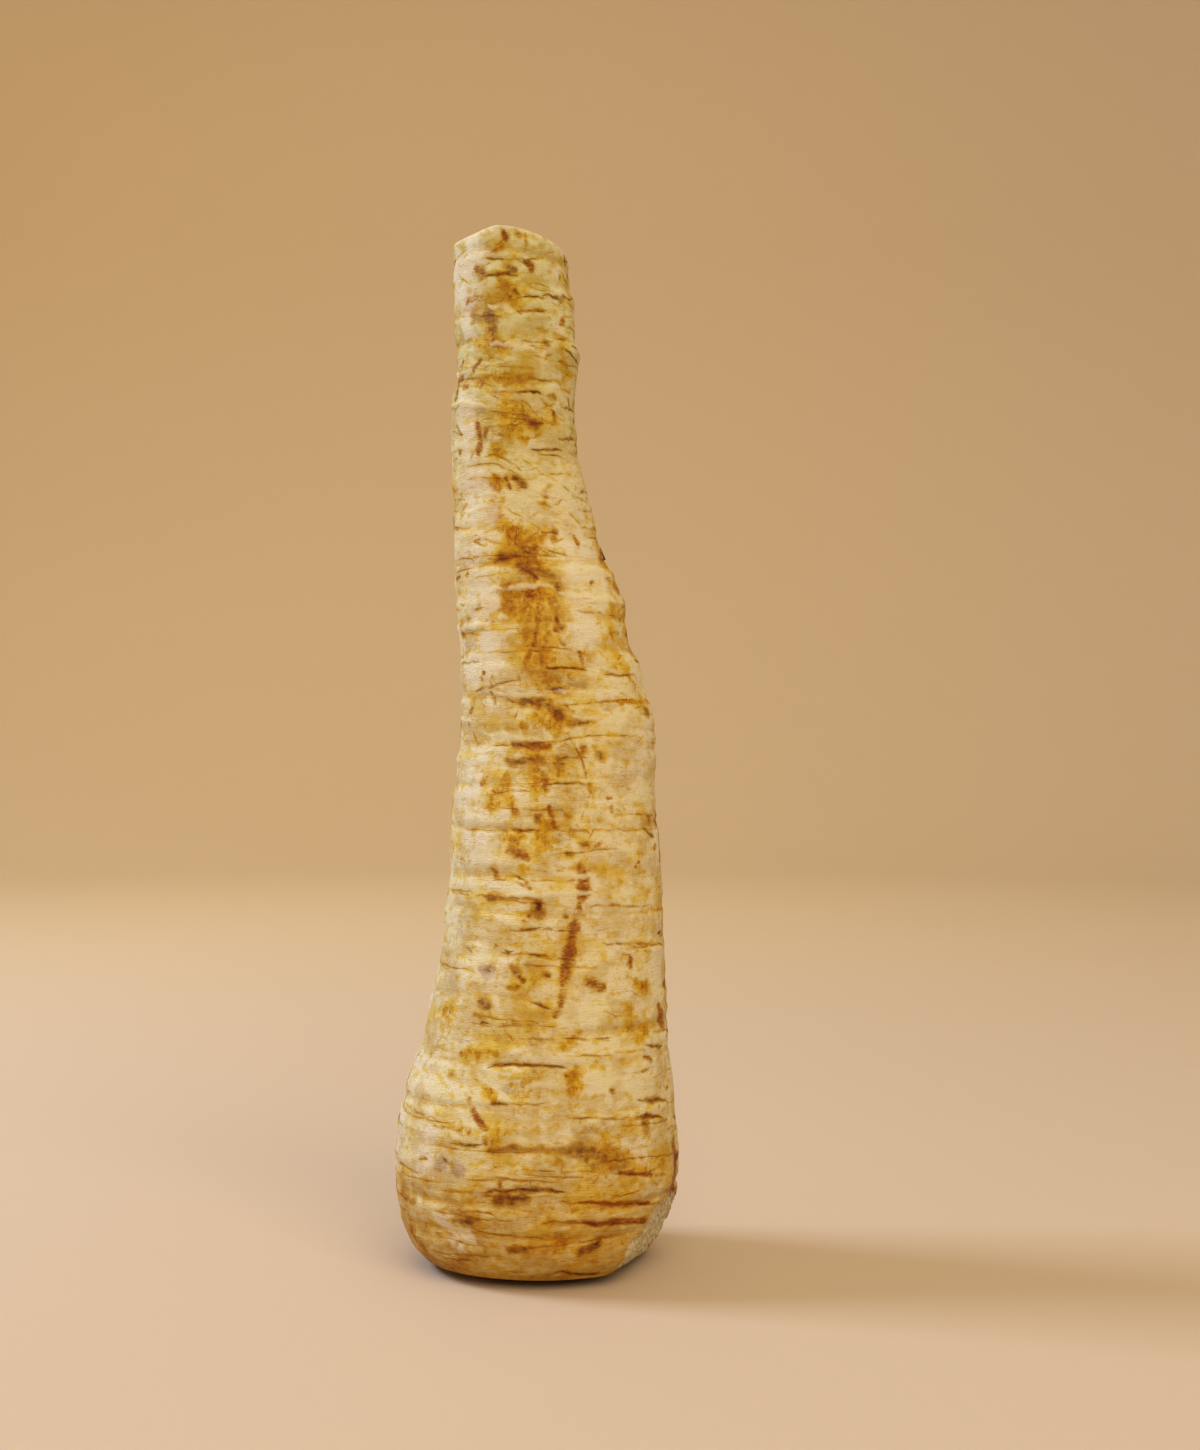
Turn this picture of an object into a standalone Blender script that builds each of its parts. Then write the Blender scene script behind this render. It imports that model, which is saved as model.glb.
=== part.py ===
"""A horseradish root, topped and tailed, standing on its cut crown.

It grew as one piece, so it is one closed solid: a lofted body with a broad crown at the bottom and a
slimmer tail at the top, ringed by growth creases, cut slantwise at the tail and flat at the crown,
and trimmed with a knife low on the right. Metres, +Z up. The origin is the middle of the standing
root's footprint, at the surface that it stands on. Front is -Y, and right is +X.
"""

import math
import random

import bmesh
import bpy
from mathutils import Matrix, Vector

MM = 0.001
SEED = 23

# The outline from the front: height above the surface, and the edge's distance from the middle, in mm.
LEFT_EDGE = (
    (2.4, -26.9), (4.9, -29.5), (9.5, -31.5), (16.5, -32.7), (24, -33.1), (33, -32.3), (44, -30.2),
    (52, -27.5), (62, -25.6), (72, -23.3), (84, -22.0), (90, -20.9), (104, -20.3), (113, -19.3),
    (124, -18.6), (144, -18.9), (156, -19.9), (178, -20.2), (191, -20.6), (201, -20.0), (207, -18.9),
    (216, -19.6), (234, -20.3), (244, -20.3),
)
RIGHT_EDGE = (
    (2.4, 25.9), (4.9, 28.9), (9.5, 31.2), (16.5, 32.4), (26, 32.9), (34, 32.1), (46, 31.2), (60, 30.1),
    (72, 29.3), (90, 29.1), (100, 28.3), (110, 27.2), (124, 26.7), (130, 25.6), (137, 23.9),
    (142.8, 22.3), (144.6, 20.8), (154, 20.3), (160, 18.2), (164.5, 15.7), (169, 14.1), (175, 12.9),
    (184, 10.2), (192, 8.7), (199, 8.3), (206, 8.7), (212, 9.4), (215, 8.3), (225, 8.0), (228, 7.2),
    (237, 6.5), (244, 5.9),
)
# From the side: height, and half of the thickness from front to back; then how far back the middle sits.
HALF_DEPTH = (
    (2.4, 24.9), (4.9, 27.9), (9.5, 29.9), (18, 31.1), (28, 31.4), (45, 29.6), (70, 26.6), (100, 24.1),
    (125, 22.4), (145, 20.4), (165, 17.9), (185, 15.7), (205, 14.3), (220, 13.9), (244, 13.3),
)
SET_BACK = ((0, 0.0), (45, 0.0), (80, 0.9), (115, 1.3), (160, 0.5), (200, -1.1), (244, -2.0))

# Growth creases, from the crown up: height in mm, how deep, and how far the band below one stands
# proud of the band above it, with the side that the step faces, in degrees round from the front.
CREASES = (
    (7.5, 0.45, 0.10, 30), (13, 0.50, 0.12, 200), (19.5, 0.60, 0.15, -40), (25, 0.55, 0.10, 120),
    (33, 0.50, 0.15, 60), (40.5, 0.60, 0.10, 80), (50.5, 0.45, 0.20, -80), (57.5, 0.55, 0.15, 250),
    (64.5, 0.40, 0.10, 20), (76, 0.45, 0.15, 70), (83.5, 0.35, 0.25, -85), (92, 0.45, 0.10, 170),
    (102.5, 0.60, 0.20, 90), (112.5, 0.40, 0.10, 0), (120.5, 0.50, 0.15, -20), (132.5, 0.55, 0.30, 85),
    (142.5, 0.50, 0.45, 75), (150, 0.45, 0.20, -60), (156, 0.50, 0.45, 65), (162.5, 0.50, 0.40, 60),
    (170, 0.40, 0.15, 150), (178.5, 0.50, 0.20, 50), (188.5, 0.50, 0.25, 60), (197.5, 0.45, 0.15, 30),
    (204.5, 0.55, 0.30, -75), (213.8, 0.60, 0.45, 80), (221, 0.45, 0.15, 0), (226.5, 0.50, 0.30, 75),
    (232.5, 0.40, 0.10, 10),
)
CREASE_HALF_WIDTH = 1.35  # mm from the bottom of a crease to its lip
CREASE_SHARE, CREASE_SWING = 0.42, 1.25  # its usual depth as a share of its deepest, and the variation
LIP = 0.28  # share of a crease's depth that its lips stand out
WIDE_BAND = 6.0  # mm; a band at least this wide carries one more row of points
BAND_BULGE = 0.16  # mm that the middle of such a band stands out
CREASE_WAVE = 0.55  # mm that a crease wanders up and down
SHARED_WAVE, OWN_WAVE = 0.6, 0.8  # shares of that which all creases follow, and which is a crease's own
STEP_ABOVE = 0.3  # share of a step by which the band above it draws in
STEP_SPREAD = math.radians(75)  # how far round from its middle a step fades out

# Broad swellings and hollows: height in mm, side in degrees, half height in mm, half width in degrees,
# and how far they stand out, in mm.
SWELLINGS = (
    (151, -4, 24, 22, -0.9),   # the long stained hollow down the front
    (152, 52, 9, 26, 0.7),     # the shoulder beside it
    (124, 62, 12, 30, 0.6),    # the knee where the root thickens
    (197, -62, 8, 22, 0.6),    # the folded shoulder under the tail
    (68, -35, 13, 26, 0.5),
    (88, 150, 16, 34, 1.1),    # behind
    (133, 205, 15, 30, -1.0),
    (176, 140, 12, 30, 0.8),
    (40, 215, 12, 30, 0.7),
    (55, 110, 14, 26, -0.6),
)
SWELLING_REACH = 1.6  # a swelling fades out at this many times its half height or half width
# Low lobes round the root: how many, their share of the radius, and the height in mm over which they
# turn by a radian.
LOBES = ((2, 0.018, 31), (3, 0.014, -22))

COLUMNS = 48
RIM_HEIGHT = 2.4  # mm; the skin's edge at the crown stays this far off the surface
ROW_ABOVE_RIM = (4.3, 0.1)  # mm; the next row's height, and how far it stands out
# The flat that it stands on, from its edge: shares of the rim's radius, and of its height.
FOOT_RINGS = ((0.94, 0.55), (0.87, 0.18), (0.76, 0.0))
TAIL_HEIGHT = 236.3  # mm up to the middle of the tail's cut
TAIL_BLEND = 10.0  # mm below the cut over which the rows turn to its slant
TAIL_RISE_FRONT = 13.0  # degrees that the cut rises towards the front
TAIL_FALL_RIGHT = 7.0  # degrees that it falls towards the right
TAIL_RINGS = ((0.95, -0.1), (0.55, 0.5))  # shares of the rim's radius, and mm that the cut has shrunk in
# Strokes of the knife, two low on the right and one at the left of the tail's cut: a point of each
# plane, in mm, and the way it faces.
TRIM_STROKES = (
    (Vector((27.4, -5.0, 9.5)), Vector((0.86, -0.27, -0.44)).normalized()),
    (Vector((22.3, -7.0, 2.6)), Vector((0.66, -0.27, -0.70)).normalized()),
    (Vector((-9.7, -12.5, 239.8)), Vector((-0.19, -0.03, 0.98)).normalized()),
)

SHARP_ANGLE = math.radians(40)
SKIN_COLOUR = (0.56, 0.37, 0.13, 1.0)
SKIN_ROUGHNESS = 0.62


def smooth_value(table, at):
    """The table's value at a height, on a cubic curve that doesn't overshoot its points."""
    heights = [h for h, _ in table]
    values = [v for _, v in table]
    if at <= heights[0]:
        return values[0]
    if at >= heights[-1]:
        return values[-1]
    rises = [(values[i + 1] - values[i]) / (heights[i + 1] - heights[i]) for i in range(len(table) - 1)]

    def slope(i):
        if i == 0:
            return rises[0]
        if i == len(rises):
            return rises[-1]
        before, after = rises[i - 1], rises[i]
        return 0.0 if before * after <= 0 else 2 * before * after / (before + after)

    i = max(k for k in range(len(rises)) if heights[k] <= at)
    span = heights[i + 1] - heights[i]
    t = (at - heights[i]) / span
    return (
        values[i] * (2 * t**3 - 3 * t**2 + 1)
        + slope(i) * span * (t**3 - 2 * t**2 + t)
        + values[i + 1] * (3 * t**2 - 2 * t**3)
        + slope(i + 1) * span * (t**3 - t**2)
    )


def turn_between(a, b):
    """The smaller angle between two directions round the root, in radians."""
    return abs((a - b + math.pi) % (2 * math.pi) - math.pi)


def fade(share):
    """1 at the middle of something, falling smoothly to 0 at its edge."""
    return 0.5 + 0.5 * math.cos(math.pi * min(1.0, share))


def swelling(height, turn):
    """How far the broad swellings push the skin out there, in mm."""
    out = 0.0
    for at, side, half_height, half_width, push in SWELLINGS:
        up = (height - at) / half_height
        round_ = turn_between(turn, math.radians(side)) / math.radians(half_width)
        out += push * fade(math.hypot(up, round_) / SWELLING_REACH)
    return out


def skin_point(height, turn, out):
    """A point of the skin in mm, with turn counted from the front towards the right."""
    left = smooth_value(LEFT_EDGE, height)
    right = smooth_value(RIGHT_EDGE, height)
    half_depth = smooth_value(HALF_DEPTH, height)
    side, front = math.sin(turn), math.cos(turn)
    # The lobes fade out at the two sides, so that the outline stays as it is given.
    lobes = front**2 * sum(share * math.sin(n * turn + height / twist) for n, share, twist in LOBES)
    push = out + swelling(height, turn)
    x = (left + right) / 2 + ((right - left) / 2 * (1 + lobes) + push) * side
    y = smooth_value(SET_BACK, height) - (half_depth * (1 + lobes) + push) * front
    return Vector((x, y, height))


def waves(rng, count):
    """A smooth random function round the root, from -1 to 1, as a list of (rate, share, phase)."""
    shares = [rng.uniform(0.4, 1.0) / rate for rate in range(1, count + 1)]
    total = sum(shares)
    return [(rate + 1, share / total, rng.uniform(0, 2 * math.pi)) for rate, share in enumerate(shares)]


def wave_at(wave, turn):
    return sum(share * math.sin(rate * turn + phase) for rate, share, phase in wave)


def rows():
    """Each row of skin points as functions of the turn: its height and how far it stands out, in mm."""
    rng = random.Random(SEED)
    above_rim, out_there = ROW_ABOVE_RIM
    found = [(lambda turn: RIM_HEIGHT, lambda turn: 0.0), (lambda turn: above_rim, lambda turn: out_there)]
    wander = waves(rng, 3)
    ends = [at for at, *_ in CREASES[1:]] + [TAIL_HEIGHT]
    for (at, deep, step, side), above in zip(CREASES, ends):
        own, broken = waves(rng, 4), waves(rng, 5)

        def line(turn, own=own):
            return CREASE_WAVE * (SHARED_WAVE * wave_at(wander, turn) + OWN_WAVE * wave_at(own, turn))

        def depth(turn, deep=deep, broken=broken):
            return deep * min(1.0, max(0.0, CREASE_SHARE + CREASE_SWING * wave_at(broken, turn)))

        def proud(turn, step=step, side=side):
            return step * fade(turn_between(turn, math.radians(side)) / STEP_SPREAD)

        def row(offset, push, at=at, line=line):
            return (lambda turn: at + offset + line(turn), push)

        found.append(row(-CREASE_HALF_WIDTH, lambda t, d=depth, p=proud: LIP * d(t) + p(t)))
        found.append(row(0.0, lambda t, d=depth: -d(t)))
        found.append(row(CREASE_HALF_WIDTH, lambda t, d=depth, p=proud: LIP * d(t) - STEP_ABOVE * p(t)))
        gap = above - at - 2 * CREASE_HALF_WIDTH
        if gap >= WIDE_BAND:
            found.append(row(CREASE_HALF_WIDTH + gap / 2, lambda t: BAND_BULGE))
    found.append((lambda turn: TAIL_HEIGHT, lambda turn: 0.0))
    return found


def slanted(point, share):
    """The point raised or lowered towards the tail's slanted cut: all the way where share is 1."""
    middle = (LEFT_EDGE[-1][1] + RIGHT_EDGE[-1][1]) / 2
    front = -(point.y - SET_BACK[-1][1]) * math.tan(math.radians(TAIL_RISE_FRONT))
    right = -(point.x - middle) * math.tan(math.radians(TAIL_FALL_RIGHT))
    return point + Vector((0, 0, share * (front + right)))


def bridge(bm, lower, upper):
    for i in range(len(lower)):
        j = (i + 1) % len(lower)
        bm.faces.new((lower[i], lower[j], upper[j], upper[i]))


def close_with_rings(bm, rim, rings, height):
    """Closes an end with smaller copies of its rim, then a fan. Each ring has its share of the rim's
    radius and a value from which height gives its points' heights."""
    centre = sum((v.co for v in rim), Vector()) / len(rim)
    outer = rim
    for share, value in rings:
        ring = []
        for vertex in rim:
            place = centre.lerp(vertex.co, share)
            ring.append(bm.verts.new((place.x, place.y, height(place, value))))
        bridge(bm, outer, ring)
        outer = ring
    middle = bm.verts.new((centre.x, centre.y, height(centre, value)))
    for i in range(len(outer)):
        bm.faces.new((outer[i], outer[(i + 1) % len(outer)], middle))


def loft_body(bm):
    """The skin, row by row, and the two cut ends, in mm."""
    turns = [2 * math.pi * i / COLUMNS for i in range(COLUMNS)]
    loops = []
    for height_at, out_at in rows():
        loop = []
        for turn in turns:
            height = height_at(turn)
            point = skin_point(height, turn, out_at(turn))
            share = max(0.0, 1 - (TAIL_HEIGHT - height) / TAIL_BLEND)
            loop.append(bm.verts.new(slanted(point, share)))
        loops.append(loop)
    for lower, upper in zip(loops, loops[1:]):
        bridge(bm, lower, upper)

    close_with_rings(bm, loops[0][::-1], FOOT_RINGS, lambda p, share: RIM_HEIGHT * share)

    def tail_cut(place, sunk):
        return slanted(Vector((place.x, place.y, TAIL_HEIGHT)), 1.0).z - sunk

    close_with_rings(bm, loops[-1], TAIL_RINGS, tail_cut)


def trim(bm, point, normal):
    """One knife stroke: everything beyond its plane goes, and the cut is closed flat."""
    cut = bmesh.ops.bisect_plane(
        bm,
        geom=bm.verts[:] + bm.edges[:] + bm.faces[:],
        dist=1e-4,
        plane_co=point,
        plane_no=normal,
        clear_outer=True,
    )
    edges = [e for e in cut["geom_cut"] if isinstance(e, bmesh.types.BMEdge)]
    bmesh.ops.holes_fill(bm, edges=edges)


def centre_on_footprint(bm):
    """Moves the body so that the middle of its box stands over the origin."""
    for axis in (0, 1):
        low = min(v.co[axis] for v in bm.verts)
        high = max(v.co[axis] for v in bm.verts)
        for vertex in bm.verts:
            vertex.co[axis] -= (low + high) / 2


def skin_material():
    material = bpy.data.materials.new("root_skin")
    material.use_nodes = True
    shader = material.node_tree.nodes["Principled BSDF"]
    shader.inputs["Base Color"].default_value = SKIN_COLOUR
    shader.inputs["Roughness"].default_value = SKIN_ROUGHNESS
    shader.inputs["Metallic"].default_value = 0.0
    return material


def build_root():
    bm = bmesh.new()
    loft_body(bm)
    centre_on_footprint(bm)
    for point, normal in TRIM_STROKES:
        trim(bm, point, normal)
    bmesh.ops.recalc_face_normals(bm, faces=bm.faces[:])
    bmesh.ops.transform(bm, matrix=Matrix.Scale(MM, 4), verts=bm.verts[:])
    mesh = bpy.data.meshes.new("root")
    bm.to_mesh(mesh)
    bm.free()
    mesh.shade_smooth()
    mesh.set_sharp_from_angle(angle=SHARP_ANGLE)
    mesh.materials.append(skin_material())
    root = bpy.data.objects.new("root", mesh)
    bpy.context.scene.collection.objects.link(root)


for old in list(bpy.data.objects):
    bpy.data.objects.remove(old)
build_root()
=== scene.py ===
"""The looks of a horseradish root that stands on its cut crown.

One fine mesh replaces the plain solid. It starts as a cylinder, is wrapped on to the solid's surface,
and gets the relief of the skin: growth rings, wrinkles, cracks, ridges and scars. The same strokes that
dent or raise the skin are kept as attributes, which the skin's material colours.
Lengths are in metres, and the values named in mm are turned into metres where they are used. Front is
-Y, right is +X, and a turn is counted from the front towards the right.
"""

import math

import bmesh
import bpy
import numpy as np
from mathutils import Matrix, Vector
from mathutils.bvhtree import BVHTree


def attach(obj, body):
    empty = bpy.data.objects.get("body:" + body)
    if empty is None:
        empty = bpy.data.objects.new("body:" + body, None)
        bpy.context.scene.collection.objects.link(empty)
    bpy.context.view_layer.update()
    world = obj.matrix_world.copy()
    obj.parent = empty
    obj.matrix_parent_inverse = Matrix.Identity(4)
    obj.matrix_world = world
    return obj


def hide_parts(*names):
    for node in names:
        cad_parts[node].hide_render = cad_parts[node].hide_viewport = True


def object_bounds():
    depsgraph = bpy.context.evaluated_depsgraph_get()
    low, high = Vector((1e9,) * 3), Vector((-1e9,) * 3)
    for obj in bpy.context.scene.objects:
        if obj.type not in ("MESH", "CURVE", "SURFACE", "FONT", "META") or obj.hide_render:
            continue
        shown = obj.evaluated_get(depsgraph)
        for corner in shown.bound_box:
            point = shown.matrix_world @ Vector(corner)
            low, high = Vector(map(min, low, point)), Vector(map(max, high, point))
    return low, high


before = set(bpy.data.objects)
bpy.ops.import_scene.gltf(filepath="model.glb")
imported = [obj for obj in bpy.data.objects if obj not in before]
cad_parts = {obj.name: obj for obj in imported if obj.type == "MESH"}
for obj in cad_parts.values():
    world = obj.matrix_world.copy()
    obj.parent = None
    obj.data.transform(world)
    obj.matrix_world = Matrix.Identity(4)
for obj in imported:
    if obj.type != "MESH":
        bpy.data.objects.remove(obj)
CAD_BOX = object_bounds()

MM = 0.001
STROKE_SEED, RELIEF_SEED = 41, 12  # the seeds of all chance

# The fine mesh: points round the root, points up it, and the rings that close each end.
COLUMNS = 156
ROWS = 600
SECTIONS = 24
CAP_RINGS = 12
FOOT_LEVEL = 2.2  # mm; the lowest row of the skin
RIM_BLEND = 26.0  # mm below the tail's cut over which the rows turn to its slant
FAR = 0.09  # from outside this radius the solid's surface is looked for
SMOOTH_UP, SMOOTH_ROUND = 0.6, 5.0  # mm up and degrees round by which the solid's facets are smoothed
CENTRE_SMOOTH, RIM_SMOOTH = 15, 1.2  # rows and columns by which the middle line and the rim are smoothed
TOP_MARGIN = 12.0  # mm below the top from where on the middle line goes straight up
LEAST_TAIL_RADIUS = 9.0  # mm; nothing nearer to the tail's middle is its skin
RIM_HALVINGS, RIM_SLACK = 14, (-0.03, 0.001)  # how the rim is searched for, in metres round the top

# The knife's two flats low on the right, as in the solid: a point of each, in mm, and the way it faces.
TRIMS = (
    (Vector((27.4, -5.0, 9.5)), Vector((0.86, -0.27, -0.44)).normalized()),
    (Vector((22.3, -7.0, 2.6)), Vector((0.66, -0.27, -0.70)).normalized()),
)
TRIMS_END = 30.0  # mm; they lie below this
ON_FLAT, LEAST_FACING = 0.99, 0.05  # how nearly a face points a flat's way, and a turn towards it
FILL_TALL, FILL_WIDE = 8, 12  # rows and columns over which the skin is filled in where a flat cut it off

# The camera is level and looks along +Y. The picture is 1200 by 1450.
CAMERA_PLACE = Vector((0.01435, -0.4739, 0.1259))
LENS, SENSOR = 50.0, 36.0

# Relief of the skin: how high and how wide its features are, and how far they stand out, all in mm.
RELIEF = (
    (22.0, 18.0, 0.20),  # slow swellings
    (7.0, 10.0, 0.09),   # lumps
    (2.8, 26.0, 0.075),  # growth rings
    (1.3, 12.0, 0.05),   # wrinkles
    (0.8, 3.5, 0.02),    # fibres
)
TRIM_RELIEF = ((3.0, 3.0, 0.22), (1.1, 1.5, 0.30))  # the same for the knife's flats
GRAIN_BLUR = 2.4  # how many widths of the blur that makes it a feature is tall or wide
USUAL_RADIUS = 25.0  # mm; where the root is this thick the features are as wide as they say
TRIM_DEPTH = 1.5  # mm that the knife cuts off where all of the skin is gone

# The cut crown that it stands on: shares of its radius, and of its rim's height. It is hollow to the rim.
FOOT_SHARES = (0.0, 0.74, 0.80, 0.88, 0.95, 1.0)
FOOT_RISES = (0.0, 0.0, 0.40, 0.80, 0.94, 1.0)
TAIL_DISH = 0.5  # mm that the tail's cut has shrunk in at its middle

# Hollows of the finished skin, where the material darkens it as stain and painted shade: how many rows and
# columns round a place it is measured against, and how many mm below them it is fully hollow.
HOLLOWS = {
    "hollow": (3, 1.5, 0.15),
    "wide_hollow": (11, 5, 0.4),
}

# What each kind of stroke does to the skin's height in mm, and how much it thins towards its ends.
KINDS = {
    "crack": (-0.18, 0.75),
    "line": (-0.05, 0.60),
    "ridge": (0.28, 0.60),
    "scar": (-0.10, 0.35),
    "brown": (-0.03, 0.20),
    "ochre": (0.0, 0.20),
    "grey": (0.0, 0.20),
    "pale_and_highlight": (0.03, 0.20),
}
LIP = 0.05  # mm that the skin beside a crack stands up
LIP_TALL, LIP_WIDE = 2.6, 1.2  # rows and columns that the lip is spread over
NARROWEST = 0.36  # mm; the mesh can't show a narrower half width
THIN = ("crack", "line")  # kinds that are coloured more finely than the mesh can show
THIN_REACH = 0.9  # mm from a thin stroke at which its hold on the skin is down to half
THIN_LIMIT = 6.0  # the most half widths away that is told apart
DAB_GAP, DAB_REACH = 0.25, 2.2  # mm between the dabs of a stroke, and how many half widths a dab reaches
BLOT = 1.6  # mm between the changes along a stroke
STRAY, STRAY_SHARE = 0.18, 0.28  # mm, and the share of its half width, that a stroke strays up and down
SWELL, FADE = 0.35, 0.35  # shares by which its width and its strength change

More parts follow.
